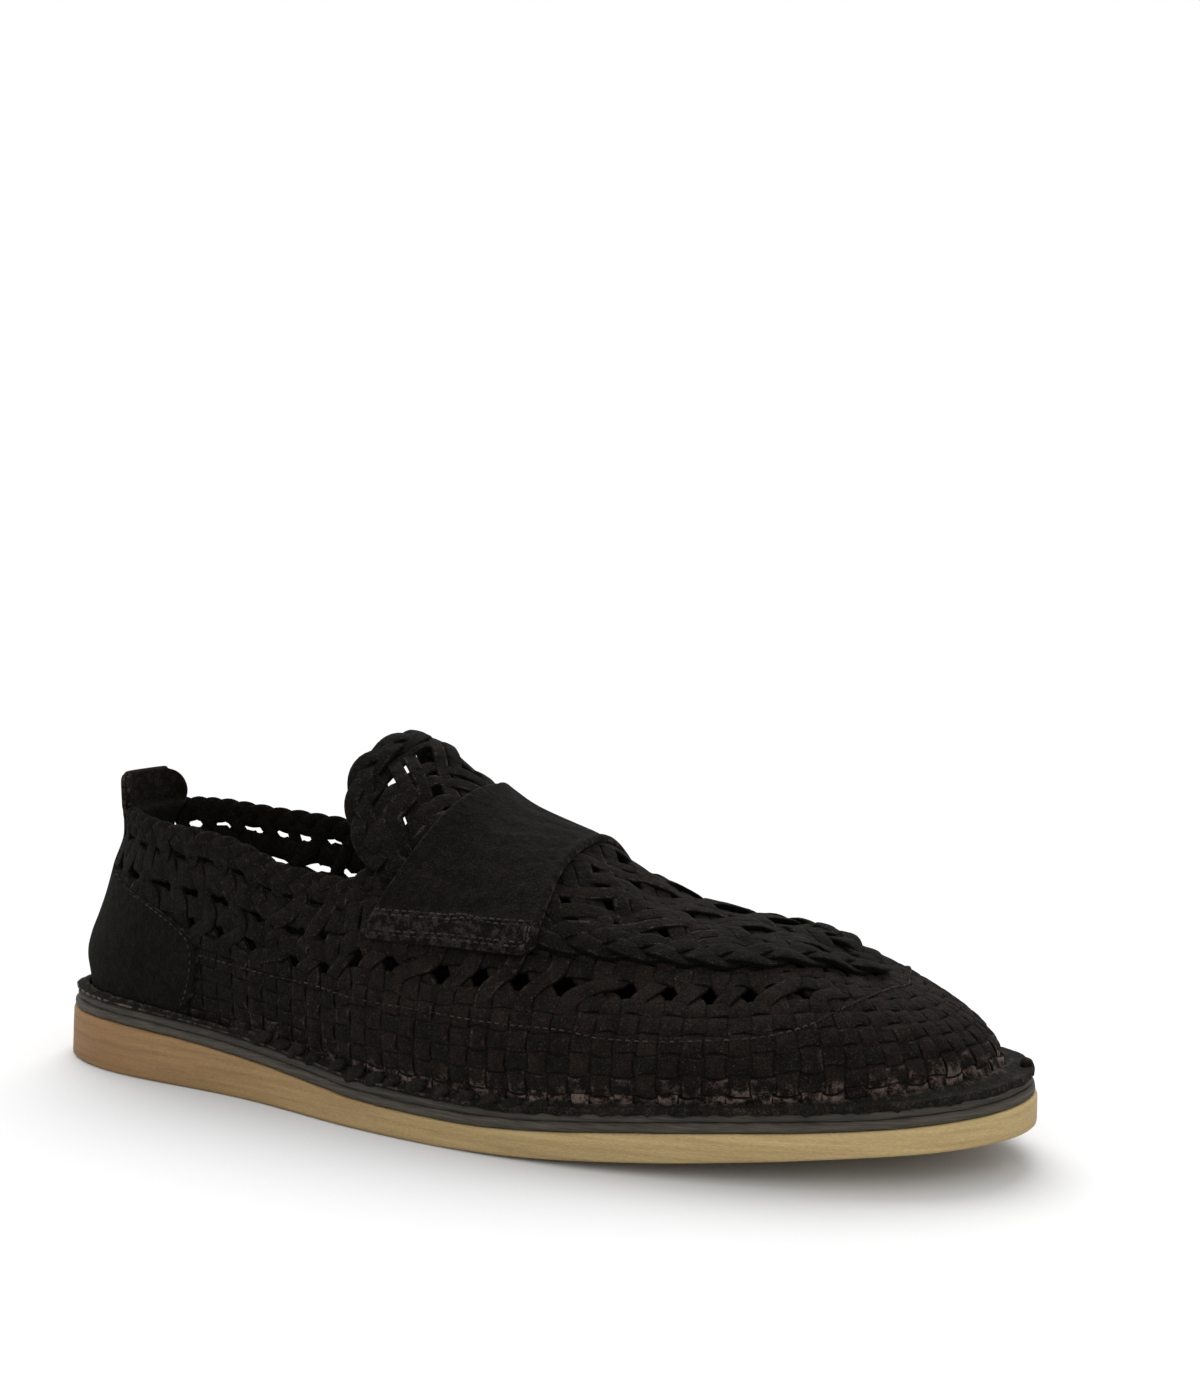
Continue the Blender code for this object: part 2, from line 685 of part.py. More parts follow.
def build_counter():
    """Heel counter, backstay and pull tab cut from one piece, folded over the collar's edge."""
    across, leaf = 18, len(COUNTER_ROWS) + 1
    out_face, in_face = WALL + COUNTER_GAP + COUNTER_THICK, -COUNTER_GAP - COUNTER_THICK
    tab_top = COUNTER_SHAPE[-1][0]
    near, far = [], []
    for i in range(across + 1):
        w = 2.0 * i / across - 1.0
        tab_run = w * COUNTER_SHAPE[-3][1]
        collar = top_length(tab_run, profile(tab_run)) + COUNTER_GAP
        path = []
        for h in (*COUNTER_ROWS, collar):
            path.append((h, out_face, h, WALL + COUNTER_GAP))
        middle = (out_face + in_face) / 2
        for k, (h, offset) in enumerate(
            (
                (tab_top - 5.0, out_face - TAB_THIN),
                (tab_top - 1.5, out_face - TAB_THIN),
                (tab_top, middle),
                (tab_top - 1.5, in_face + TAB_THIN),
                (tab_top - 5.0, in_face + TAB_THIN),
            )
        ):
            path.append((h, offset, collar, WALL + COUNTER_GAP - (WALL + 2 * COUNTER_GAP) * (k + 1) / 6))
        for drop in (0.0, TAB_INNER_DROP / 2, TAB_INNER_DROP):
            path.append((collar - drop, in_face, collar - drop, -COUNTER_GAP))
        for n, (h, offset, h_in, offset_in) in enumerate(path):
            half = float(from_table(COUNTER_SHAPE, h))
            if n >= leaf:
                half = max(half, COUNTER_SHAPE[-1][1])
            if n > leaf + 4:
                half = COUNTER_SHAPE[-2][1]
            run = w * half
            far.append(surface(run, [h], offset)[0])
            near.append(surface(run, [h_in], offset_in)[0])
    length = len(path)
    cells = []
    for i in range(across):
        for j in range(length - 1):
            a = i * length + j
            cells.append((a, a + length, a + length + 1, a + 1))
    return shell_builder(to_frame(near), to_frame(far), cells)


def build_rand():
    """Leather flange on the midsole, thick against the foot of the wall and thin at the edge."""
    spread = np.linalg.norm(FOOT_RING[:, None] - SOLE_RING[None], axis=2).min(axis=1)
    reach = inset(FOOT_RING, RAND_INSET - spread)
    wall_side, outer_side = [], []
    for i in range(COLUMNS):
        run = FOOT_RUN * (i + 0.5) / COLUMNS
        from_heel = min(run, FOOT_RUN - run)
        over_counter = 1.0 - float(smooth((from_heel - 79.0) / 8.0))
        base = WALL + 1.5 * GAP + (2 * COUNTER_GAP + COUNTER_THICK) * over_counter
        wall_side.append(surface(run, np.array([0.1, RAND_HEIGHT]), base))
        edge = reach[round(run / FOOT_RUN * len(reach))]
        low = float(sole_top(edge[0])) + GAP
        outer_side.append(np.array([(*edge, low), (*edge, low + RAND_EDGE)]))
    cells = []
    for i in range(COLUMNS):
        a, b = 2 * i, 2 * ((i + 1) % COLUMNS)
        cells.append((a, b, b + 1, a + 1))
    return shell_builder(to_frame(np.vstack(wall_side)), to_frame(np.vstack(outer_side)), cells)


def build_outsole():
    return slab_builder(
        (
            (inset(TREAD_RING, BOTTOM_ROUND), floor_gap),
            (TREAD_RING, lambda s: floor_gap(s) + BOTTOM_ROUND),
            (SOLE_RING, rubber_top),
        )
    )


def build_midsole(layer):
    """One of the two thin layers between the rubber and the wall."""
    edge = inset(SOLE_RING, 0.4 + 0.5 * layer)
    lift = GAP + layer * (MIDSOLE_LAYER + GAP)
    return slab_builder(
        (
            (edge, lambda s: rubber_top(s) + lift),
            (edge, lambda s: rubber_top(s) + lift + MIDSOLE_LAYER),
        )
    )


def build_insole():
    edge = inset(FOOT_RING, 1.3)
    return slab_builder(
        (
            (edge, lambda s: sole_top(s) + GAP),
            (edge, lambda s: sole_top(s) + GAP + INSOLE_THICK),
        )
    )


# ---------------------------------------------------------------- materials and assembly
def surface_material(name, colour, roughness):
    material = bpy.data.materials.new(name)
    material.use_nodes = True
    shader = material.node_tree.nodes["Principled BSDF"]
    shader.inputs["Base Color"].default_value = (*colour, 1.0)
    shader.inputs["Roughness"].default_value = roughness
    material.diffuse_color = (*colour, 1.0)
    return material


for old in list(bpy.data.objects):
    bpy.data.objects.remove(old, do_unlink=True)
SHOE = bpy.data.collections.new("woven_loafer")
bpy.context.scene.collection.children.link(SHOE)

make_object("outsole", build_outsole(), surface_material("crepe_rubber", (0.42, 0.29, 0.15), 0.75))
make_object("midsole_lower", build_midsole(0), surface_material("midsole_grey", (0.055, 0.047, 0.04), 0.8))
make_object("midsole_upper", build_midsole(1), surface_material("midsole_leather", (0.045, 0.04, 0.034), 0.8))
make_object("rand", build_rand(), surface_material("rand_leather", (0.018, 0.016, 0.014), 0.85))
make_object("insole", build_insole(), surface_material("insole_leather", (0.03, 0.025, 0.02), 0.7))
make_object("upper", build_upper(), surface_material("woven_suede", (0.014, 0.012, 0.01), 0.9))
make_object("plug", build_plug(), surface_material("braided_suede", (0.013, 0.011, 0.0095), 0.9))
make_object("strap", build_strap(), surface_material("strap_suede", (0.011, 0.0105, 0.01), 0.9))
make_object("heel_counter", build_counter(), surface_material("counter_suede", (0.012, 0.011, 0.01), 0.9))
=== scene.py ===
"""Looks of the woven slip-on shoe: real strips, braids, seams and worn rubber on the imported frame.

Lengths are in millimetres, in stations from the back of the heel, until to_frame() places them.
"""
import math

import bpy
import numpy as np
from mathutils import Matrix, Vector


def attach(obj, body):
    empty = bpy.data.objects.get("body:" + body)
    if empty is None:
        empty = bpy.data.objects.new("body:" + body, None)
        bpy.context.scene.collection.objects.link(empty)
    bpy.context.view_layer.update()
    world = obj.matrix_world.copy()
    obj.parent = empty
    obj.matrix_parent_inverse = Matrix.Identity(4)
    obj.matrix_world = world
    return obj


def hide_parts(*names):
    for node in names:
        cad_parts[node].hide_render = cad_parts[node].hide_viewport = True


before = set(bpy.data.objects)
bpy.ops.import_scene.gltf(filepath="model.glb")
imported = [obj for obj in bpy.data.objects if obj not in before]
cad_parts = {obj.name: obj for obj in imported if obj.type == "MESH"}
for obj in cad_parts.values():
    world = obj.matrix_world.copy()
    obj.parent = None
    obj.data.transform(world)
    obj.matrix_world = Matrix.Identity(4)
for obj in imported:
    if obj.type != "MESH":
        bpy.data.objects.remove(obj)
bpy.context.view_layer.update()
rng = np.random.default_rng(7)

# ------------------------------------------------------------------ outsole
# A wedge of natural crepe rubber, sanded flat along its side: thick under the heel, thin at the
# ball, with a toe spring. It is the pale band the whole shoe stands on.


def eased(value, first, last):
    """An eased step from 0 at the first value to 1 at the last."""
    t = np.clip((value - first) / (last - first), 0.0, 1.0)
    return t * t * (3.0 - 2.0 * t)


def unit(vectors):
    """The same directions with a length of one."""
    return vectors / np.maximum(np.linalg.norm(vectors, axis=-1), 1e-9)[..., None]


def cubic(t, start, end, start_slope, end_slope):
    """A cubic from one value to the next that leaves and arrives with the given slopes."""
    first = start * (1 + 2 * t) * (1 - t) ** 2 + start_slope * t * (1 - t) ** 2
    return first + end * t * t * (3 - 2 * t) + end_slope * t * t * (t - 1)


def from_table(rows, at, column=1):
    """Smooth curve through a table's rows that never overshoots them."""
    rows = np.asarray(rows, float)
    x, y = rows[:, 0], rows[:, column]
    step = np.diff(x)
    rise = np.diff(y) / step
    slope = np.zeros(len(x))
    slope[0], slope[-1] = rise[0], rise[-1]
    same = rise[:-1] * rise[1:] > 0
    inner = 2.0 * rise[:-1] * rise[1:] / np.where(same, rise[:-1] + rise[1:], 1.0)
    slope[1:-1] = np.where(same, inner, 0.0)
    at = np.clip(np.asarray(at, float), x[0], x[-1])
    k = np.clip(np.searchsorted(x, at) - 1, 0, len(step) - 1)
    h = step[k]
    return cubic((at - x[k]) / h, y[k], y[k + 1], h * slope[k], h * slope[k + 1])


def lengths_along(points):
    """Length from a line's start to each of its points."""
    return np.r_[0.0, np.cumsum(np.linalg.norm(np.diff(points, axis=0), axis=1))]


def on_line(points, lengths, at):
    """Places on a line, given by their length from its start."""
    return np.stack([np.interp(at, lengths, points[:, k]) for k in range(points.shape[1])], axis=1)


def evenly(ring, count):
    """Evenly spaced points round a closed ring."""
    loop = np.vstack([ring, ring[:1]])
    lengths = lengths_along(loop)
    return on_line(loop, lengths, np.linspace(0.0, lengths[-1], count, endpoint=False))


def closed_curve(points, count):
    """Evenly spaced points on a closed cubic spline through the given ones."""
    p = np.asarray(points, float)
    n = len(p)
    after = np.roll(p, -1, 0)
    h = np.linalg.norm(after - p, axis=1)
    before = np.roll(h, 1)
    rise = (after - p) / h[:, None]
    equations = np.zeros((n, n))
    for i in range(n):
        equations[i, i - 1] = h[i]
        equations[i, i] = 2.0 * (before[i] + h[i])
        equations[i, (i + 1) % n] = before[i]
    slope = np.linalg.solve(equations, 3.0 * (h[:, None] * np.roll(rise, 1, 0) + before[:, None] * rise))
    t = np.linspace(0.0, 1.0, 40, endpoint=False)[None, :, None]
    ahead = np.roll(slope, -1, 0)
    h = h[:, None, None]
    curve = cubic(t, p[:, None], after[:, None], h * slope[:, None], h * ahead[:, None])
    return evenly(curve.reshape(-1, 2), count)


def inset(ring, amount):
    """A ring moved inwards by one amount, or by one for each point."""
    tangent = unit(np.roll(ring, -1, 0) - np.roll(ring, 1, 0))
    inward = np.stack([-tangent[:, 1], tangent[:, 0]], axis=1)
    return ring + inward * np.broadcast_to(amount, len(ring))[:, None]


# Outline of the sole from above: station, distance to the side (outer side negative).
SOLE_OUTLINE = (
    (-1.8, 0.0),
    (1.3, -17.4),
    (15.0, -29.2),
    (40.0, -35.5),
    (80.0, -38.2),
    (124.0, -47.2),
    (165.0, -53.0),
    (205.0, -51.3),
    (240.0, -45.0),
    (267.0, -35.8),
    (288.0, -21.5),
    (300.0, 3.0),
    (293.0, 23.5),
    (274.0, 39.5),
    (247.0, 49.0),
    (212.0, 52.4),
    (170.0, 46.2),
    (130.0, 36.0),
    (90.0, 32.0),
    (50.0, 33.2),
    (17.0, 29.2),
    (1.8, 17.4),
)
# Toe spring, the gap under the sole: station, height.
TOE_SPRING = (
    (152.0, 0.0),
    (175.0, 0.7),
    (205.0, 2.9),
    (240.0, 6.3),
    (262.0, 8.4),
    (282.0, 9.7),
    (300.0, 10.6),
)
# Top of the rubber over the floor, a wedge under the heel: station, height.
RUBBER_TOP = (
    (-1.8, 15.3),
    (30.0, 14.9),
    (50.0, 13.9),
    (65.0, 12.7),
    (80.0, 11.1),
    (95.0, 9.6),
    (110.0, 8.1),
    (121.0, 7.1),
    (140.0, 6.9),
    (158.0, 7.0),
    (172.0, 7.5),
    (190.0, 9.0),
    (210.0, 11.0),
    (230.0, 12.8),
    (250.0, 14.3),
    (266.0, 15.4),
    (282.0, 16.8),
    (293.0, 17.9),
    (300.0, 19.0),
)
# How far the rubber's side flares out towards the floor: station, width.
FLARE = ((-1.8, 0.4), (60.0, 1.2), (112.0, 2.3), (155.0, 0.6), (180.0, 0.0))
RING_POINTS = 1200
SOLE_RING = closed_curve(SOLE_OUTLINE, RING_POINTS)
TREAD_RING = inset(SOLE_RING, -from_table(FLARE, SOLE_RING[:, 0]))
MIDDLE = (TREAD_RING.min(axis=0) + TREAD_RING.max(axis=0)) / 2
GAP, MIDSOLE_LAYER = 0.35, 2.3  # clearance between glued pieces, thickness of each midsole layer


def to_frame(points):
    """Points from stations in millimetres to the frame's metres."""
    p = np.asarray(points, float).reshape(-1, 3)
    return (p - (*MIDDLE, 0.0)) * 0.001


def floor_gap(station):
    """Height of the sole's underside: flat to the ball, then the toe spring."""
    return from_table(TOE_SPRING, station)


def rubber_top(station):
    """Height of the rubber's top over the floor."""
    return from_table(RUBBER_TOP, station)


def sole_top(station):
    """Height of the midsole's top, which the upper stands on."""
    return rubber_top(station) + 2 * (GAP + MIDSOLE_LAYER)


def piece(name, points, faces, material, stands_for=None, shade=None, wear_and_light=None):
    """A mesh piece of the shoe, with two values for each point that its leather reads: its tint, and its
    abrasion, which also carries painted highlights and, below zero, painted shade.
    """
    mesh = bpy.data.meshes.new(name)
    faces = np.asarray(faces, int)
    mesh.from_pydata(to_frame(points).tolist(), [], faces.tolist())
    for label, values in (("shade", shade), ("wear_and_light", wear_and_light)):
        if values is not None:
            layer = mesh.attributes.new(label, "FLOAT", "POINT")
            layer.data.foreach_set("value", np.asarray(values, np.float32).ravel())
    mesh.validate()
    mesh.polygons.foreach_set("use_smooth", [True] * len(mesh.polygons))
    mesh.materials.append(material)
    made = bpy.data.objects.new(name, mesh)
    bpy.context.scene.collection.objects.link(made)
    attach(made, "root")
    if stands_for:
        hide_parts(stands_for)


def grid_faces(rows, columns, wrap_rows=False, wrap_columns=False):
    """Quads over a grid of points numbered row by row."""
    i = np.arange(rows if wrap_rows else rows - 1)[:, None]
    j = np.arange(columns if wrap_columns else columns - 1)[None, :]
    a, b = i * columns + j, ((i + 1) % rows) * columns + j
    c, d = ((i + 1) % rows) * columns + (j + 1) % columns, i * columns + (j + 1) % columns
    return np.stack([a, b, c, d], axis=-1).reshape(-1, 4)


def node_material(name, colour, roughness):
    """A new material with its shader, ready for more nodes."""
    material = bpy.data.materials.new(name)
    material.use_nodes = True
    nodes = material.node_tree.nodes
    shader = nodes["Principled BSDF"]
    shader.inputs["Base Color"].default_value = (*colour, 1.0)
    shader.inputs["Roughness"].default_value = roughness
    return material, nodes, material.node_tree.links, shader


def add(nodes, kind, **values):
    """A shader node with its sockets and settings given by name."""
    made = nodes.new(kind)
    for label, value in values.items():
        if label in made.inputs:
            made.inputs[label].default_value = value
        else:
            setattr(made, label, value)
    return made


def colour_ramp(nodes, links, source, stops):
    """Colours blended along a value from 0 to 1."""
    ramp = nodes.new("ShaderNodeValToRGB")
    while len(ramp.color_ramp.elements) < len(stops):
        ramp.color_ramp.elements.new(0.5)
    for element, (place, colour) in zip(ramp.color_ramp.elements, stops):
        element.position = place
        element.color = (*colour, 1.0)
    links.new(source, ramp.inputs[0])
    return ramp.outputs["Color"]


def stretched_noise(nodes, links, stretch, scale, detail=4.0):
    """Noise over the shoe's own coordinates, drawn out by the three numbers of stretch."""
    place = nodes.new("ShaderNodeTexCoord")
    mapping = nodes.new("ShaderNodeMapping")
    mapping.inputs["Scale"].default_value = stretch
    noise = add(nodes, "ShaderNodeTexNoise", Scale=scale, Detail=detail, Roughness=0.6)
    links.new(place.outputs["Object"], mapping.inputs["Vector"])
    links.new(mapping.outputs["Vector"], noise.inputs["Vector"])
    return noise.outputs["Fac"]


def roughen(nodes, links, shader, height, strength, distance, below=None):
    """Bumps the shader's surface with a height."""
    bump = add(nodes, "ShaderNodeBump", Strength=strength, Distance=distance)
    links.new(height, bump.inputs["Height"])
    if below is not None:
        links.new(below, bump.inputs["Normal"])
    links.new(bump.outputs["Normal"], shader.inputs["Normal"])
    return bump.outputs["Normal"]


def blend_colours(nodes, links, share, first, second, blend_type="MIX"):
    """Two colours mixed by a share; each of the three is a value or a socket."""
    mix = nodes.new("ShaderNodeMix")
    mix.data_type = "RGBA"
    mix.blend_type = blend_type
    for socket, value in ((mix.inputs[0], share), (mix.inputs[6], first), (mix.inputs[7], second)):
        if isinstance(value, bpy.types.NodeSocket):
            links.new(value, socket)
        elif isinstance(value, tuple):
            socket.default_value = (*value, 1.0)
        else:
            socket.default_value = value
    return mix.outputs[2]


def overlaid(nodes, links, share, tone, source, stops):
    """A colour with darker and paler places laid over it."""
    return blend_colours(nodes, links, share, tone, colour_ramp(nodes, links, source, stops), "OVERLAY")


def remap(nodes, links, value, **limits):
    """A value brought from one range to another."""
    made = add(nodes, "ShaderNodeMapRange", **limits)
    links.new(value, made.inputs["Value"])
    return made.outputs[0]


def slab(levels, count=720):
    """Points and faces of a slab: levels are (ring, height for each station), lowest first."""
    rows = []
    for n, (ring, height) in enumerate(levels):
        ring = evenly(ring, count)
        shares = {0: (0.0, 0.4, 0.8, 1.0), len(levels) - 1: (1.0, 0.8, 0.4, 0.0)}.get(n, (1.0,))
        for share in shares:
            rows.append(np.column_stack([ring[:, 0], ring[:, 1] * share, height(ring[:, 0])]))
    return np.vstack(rows), grid_faces(len(rows), count, wrap_columns=True)[:, ::-1]


material, nodes, links, shader = node_material("crepe rubber", (0.4, 0.28, 0.13), 0.72)
place = add(nodes, "ShaderNodeTexCoord")
along = nodes.new("ShaderNodeSeparateXYZ")
links.new(place.outputs["Object"], along.inputs[0])
heel_to_toe = remap(nodes, links, along.outputs["X"], **{"From Min": -0.15, "From Max": 0.15})
RUBBER_COLOURS = (
    (0.0, (0.182, 0.09, 0.03)),
    (0.3, (0.218, 0.138, 0.053)),
    (0.6, (0.288, 0.21, 0.093)),
    (1.0, (0.345, 0.257, 0.116)),
)
tone = colour_ramp(nodes, links, heel_to_toe, RUBBER_COLOURS)
grain = stretched_noise(nodes, links, (1.0, 1.0, 22.0), 30.0, 8.0)
fine = stretched_noise(nodes, links, (1.0, 1.0, 3.0), 900.0, 3.0)
STREAKS = ((0.3, (0.4, 0.37, 0.33)), (0.7, (0.6, 0.6, 0.6)))
SPECKS = ((0.3, (0.42, 0.42, 0.42)), (0.7, (0.58, 0.58, 0.58)))
tone = overlaid(nodes, links, 0.9, tone, grain, STREAKS)
tone = overlaid(nodes, links, 0.8, tone, fine, SPECKS)
links.new(tone, shader.inputs["Base Color"])
roughen(nodes, links, shader, fine, 0.35, 0.0006, roughen(nodes, links, shader, grain, 0.3, 0.001))
points, faces = slab(
    (
        (inset(TREAD_RING, 1.2), floor_gap),
        (inset(TREAD_RING, 0.5), lambda s: floor_gap(s) + 0.15),
        (inset(TREAD_RING, 0.1), lambda s: floor_gap(s) + 0.5),
        (TREAD_RING, lambda s: floor_gap(s) + 1.1),
        (SOLE_RING * 0.3 + TREAD_RING * 0.7, lambda s: floor_gap(s) * 0.7 + rubber_top(s) * 0.3),
        (SOLE_RING * 0.6 + TREAD_RING * 0.4, lambda s: floor_gap(s) * 0.4 + rubber_top(s) * 0.6),
        (inset(SOLE_RING, 0.05), lambda s: rubber_top(s) - 0.9),
        (inset(SOLE_RING, 0.35), lambda s: rubber_top(s) - 0.2),
        (inset(SOLE_RING, 0.9), rubber_top),
    )
)
piece("crepe_outsole", points, faces, material, "outsole")

# ------------------------------------------------------------------ midsole
# Two thin layers between the rubber and the wall: a pressed board below and a leather layer over
# it, trimmed together by hand so their grey-brown edges wander a little and show loose fibres.
MIDSOLE_SETBACKS = (0.55, 1.3)  # how far each layer's edge lies inside the rubber's
EDGE_WAVES = ((9, 0.14), (23, 0.1), (57, 0.07))  # waves round the edge, width of each
MIDSOLE_LAYERS = (
    ("midsole_board_edge", (0.0375, 0.0308, 0.0218), "midsole_board", "midsole_lower"),
    ("midsole_leather_edge", (0.0262, 0.0223, 0.0166), "midsole_leather", "midsole_upper"),
)
for layer, (name, colour, slot, node) in enumerate(MIDSOLE_LAYERS):
    material, nodes, links, shader = node_material(name, colour, 0.85)
    fibre = stretched_noise(nodes, links, (1.0, 1.0, 20.0), 110.0, 7.0)
    dark, pale = (tuple(k * c for c in colour) for k in (0.45, 1.9))
    tone = colour_ramp(nodes, links, fibre, ((0.32, dark), (0.5, colour), (0.7, pale)))
    links.new(tone, shader.inputs["Base Color"])
    roughen(nodes, links, shader, fibre, 0.8, 0.0008)
    lift = 0.02 + layer * (MIDSOLE_LAYER + 0.25)
    thick = MIDSOLE_LAYER + 0.3
    turn = np.linspace(0.0, 2 * math.pi, RING_POINTS, endpoint=False)
    wander = sum(a * np.sin(turn * n + layer * 2.1 + n) for n, a in EDGE_WAVES)
    edge = inset(SOLE_RING, MIDSOLE_SETBACKS[layer] + wander)
    points, faces = slab(
        (
            (inset(edge, 1.0), lambda s: rubber_top(s) + lift),
            (inset(edge, 0.15), lambda s: rubber_top(s) + lift + 0.45),
            (edge, lambda s: rubber_top(s) + lift + thick * 0.5),
            (inset(edge, 0.15), lambda s: rubber_top(s) + lift + thick - 0.45),
            (inset(edge, 1.0), lambda s: rubber_top(s) + lift + thick),
        )
    )
    piece(name, points, faces, material, node)

# ------------------------------------------------------------------ upper
# One wall of flat suede strips woven on the last: strips standing up all round, others passing
# along the shoe over and under them, and open rows where the standing strips cross in pairs.

# How far the wall's foot lies inside the sole's edge: station, width.
MARGIN = (
    (-1.8, 10.0),
    (15.0, 8.8),
    (40.0, 7.6),
    (120.0, 7.0),
    (240.0, 7.4),
    (270.0, 8.6),
    (300.0, 11.2),
)
# Crown line of the last: station, height, fullness of the section.
CROWN = (
    (45.0, 126.0, 2.3),
    (80.0, 113.0, 2.2),
    (105.0, 101.0, 2.0),
    (113.0, 99.6, 2.0),
    (122.0, 97.0, 2.0),
    (131.0, 91.0, 2.0),
    (145.0, 81.4, 2.0),
    (160.0, 75.2, 2.1),
    (176.0, 69.2, 2.2),
    (186.0, 63.0, 2.3),
    (198.0, 57.4, 2.4),
    (211.0, 54.0, 2.5),
    (226.0, 52.3, 2.3),
    (236.0, 50.2, 1.85),
)
CROWN_SIDE = 2.5  # the crown lies this far to the inner side
TOE_FAN = (190.0, 236.0)  # from the first station on, sections fan out to this end of the crown
HEEL_FAN = (60.0, 45.0)  # and round the heel: first station, crown end
# Back curve of the heel: height over the sole, how far the wall has moved inwards.
HEEL_CURVE = (
    (0.0, 0.0),
    (6.0, -0.8),
    (11.0, -1.5),
    (16.0, -0.4),
    (22.0, 2.0),
    (29.0, 4.5),
    (35.0, 6.2),
    (42.0, 8.0),
    (48.0, 9.4),
    (55.0, 10.1),
    (66.0, 9.6),
    (110.0, 9.6),
)
HEEL_CURVE_END = 78.0  # station where the wall no longer follows the heel's curve
# Swell of the wall's side: station, width.
BULGE = ((0.0, 2.0), (60.0, 3.2), (235.0, 3.2), (270.0, 1.2), (289.0, 0.2))
# Height of the collar's edge: station, height. The inner side is higher and the outer one dips.
COLLAR = ((0.0, 79.0), (20.0, 78.0), (45.0, 74.8), (85.0, 71.0), (118.0, 66.5))
COLLAR_SIDE_LIFT = 1.2
COLLAR_DIP = (
    (0.0, 0.0),
    (20.0, -1.0),
    (45.0, -2.7),
    (60.0, -3.3),
    (67.0, -3.0),
    (77.0, -1.4),
    (83.0, 0.3),
    (90.0, 1.6),
    (98.0, 1.8),
    (110.0, 1.2),
    (118.0, 0.8),
)
THROAT_START = 118.0  # where the collar ends and the plug begins
# Half girth of the plug: station at the foot, girth.
PLUG_GIRTH = (
    (105.0, 47.0),
    (118.0, 47.0),
    (150.0, 47.0),
    (166.0, 46.4),
    (177.0, 44.2),
    (185.0, 40.6),
    (193.0, 37.2),
    (203.0, 34.4),
    (213.0, 32.5),
    (226.0, 31.0),
    (241.0, 28.2),
    (256.0, 24.8),
    (272.0, 23.7),
    (289.0, 23.6),
)
PLUG_LAP = 3.0  # the wall runs this far under the plug
FOOT_RING = evenly(inset(SOLE_RING, from_table(MARGIN, SOLE_RING[:, 0])), RING_POINTS)
FOOT_RUN = float(lengths_along(np.vstack([FOOT_RING, FOOT_RING[:1]]))[-1])
TOE_END = float(FOOT_RING[:, 0].max())
RUNS, STEPS = 640, 96  # the last is worked out once on this grid: round the foot, up the wall


def crown_station(station):
    """Station on the crown that a section from this station of the foot runs to."""
    start, crown_end = TOE_FAN
    ahead = np.linspace(start, crown_end, 60)
    foot = ahead + (TOE_END - crown_end) * ((ahead - start) / (crown_end - start)) ** 2
    toe = np.interp(station, foot, ahead)
    first, heel_crown = HEEL_FAN
    back = station + heel_crown * (np.clip(first - station, 0, first) / first) ** 2
    return np.where(station > start, toe, np.where(station < first, back, station))


def profile(foot):
    """Section of the last from this point of the wall's foot up to the crown."""
    station = foot[0]
    c = float(crown_station(station))
    crown = np.array([c, CROWN_SIDE])
    low = float(sole_top(station)) + GAP
    high = float(from_table(CROWN, c))
    full = 2.0 / float(from_table(CROWN, c, 2))
    angle = np.linspace(0.0, math.pi / 2, 120)
    inward = 1.0 - np.cos(angle) ** full
    inward[-1] = 1.0
    up = np.sin(angle) ** full
    reach = np.linalg.norm(crown - foot)
    towards = unit(crown - foot)
    toe_share = eased(c, *TOE_FAN)
    step = 6.0
    fall = (from_table(CROWN, c) - from_table(CROWN, c - step)) / step
    z = low + (high - low) * up - toe_share * fall * towards[0] * reach * inward * (1 - inward)
    swell = from_table(BULGE, station) * np.sin(math.pi * np.clip(up * 1.5, 0.0, 1.0)) ** 0.8
    distance = reach * inward - swell
    heel = eased(station, HEEL_CURVE_END, 0.0)
    distance = distance * (1 - heel) + from_table(HEEL_CURVE, z - low) * heel
    return np.column_stack([foot[None, :] + towards[None, :] * distance[:, None], z])


LAST = np.zeros((RUNS, STEPS + 1, 3))
LENGTH, TOP = np.zeros(RUNS), np.zeros(RUNS)
FEET = evenly(FOOT_RING, RUNS)
for i, foot in enumerate(FEET):
    points = profile(foot)
    lengths = lengths_along(points)
    LENGTH[i] = lengths[-1]
    LAST[i] = on_line(points, lengths, np.linspace(0.0, lengths[-1], STEPS + 1))
    side = -1.0 if foot[1] < CROWN_SIDE else 1.0
    lift = side * COLLAR_SIDE_LIFT * eased(foot[0], 0.0, 40.0)
    if side < 0:
        lift -= from_table(COLLAR_DIP, foot[0])
    collar = np.interp(from_table(COLLAR, foot[0]) + lift, points[:, 2], lengths)
    throat = lengths[-1] - from_table(PLUG_GIRTH, foot[0]) + PLUG_LAP
    share = eased(foot[0], THROAT_START - 5.0, THROAT_START + 5.0)
    TOP[i] = collar * (1 - share) + throat * share
forward = np.roll(LAST, -1, 0) - np.roll(LAST, 1, 0)
LAST_NORMAL = unit(np.cross(forward, np.gradient(LAST, axis=1), axis=2))


def round_foot(values, run):
    """A value kept for each run of the grid, read at any distance round the foot."""
    at = np.mod(np.asarray(run, float) / FOOT_RUN, 1.0) * RUNS
    low = np.floor(at).astype(int) % RUNS
    part = at - np.floor(at)
    part = part.reshape(part.shape + (1,) * (values.ndim - 1))
    return values[low] * (1 - part) + values[(low + 1) % RUNS] * part


def off_grid(grids, i, k, j, u, v, lift):
    """Places between the rows i and k of a grid of points, moved outwards, and their directions."""
    u, v = u[..., None], v[..., None]
    spot, normal = (
        (g[i, j] * (1 - v) + g[i, j + 1] * v) * (1 - u) + (g[k, j] * (1 - v) + g[k, j + 1] * v) * u
        for g in grids
    )
    normal = unit(normal)
    return spot + normal * np.asarray(lift, float)[..., None], normal


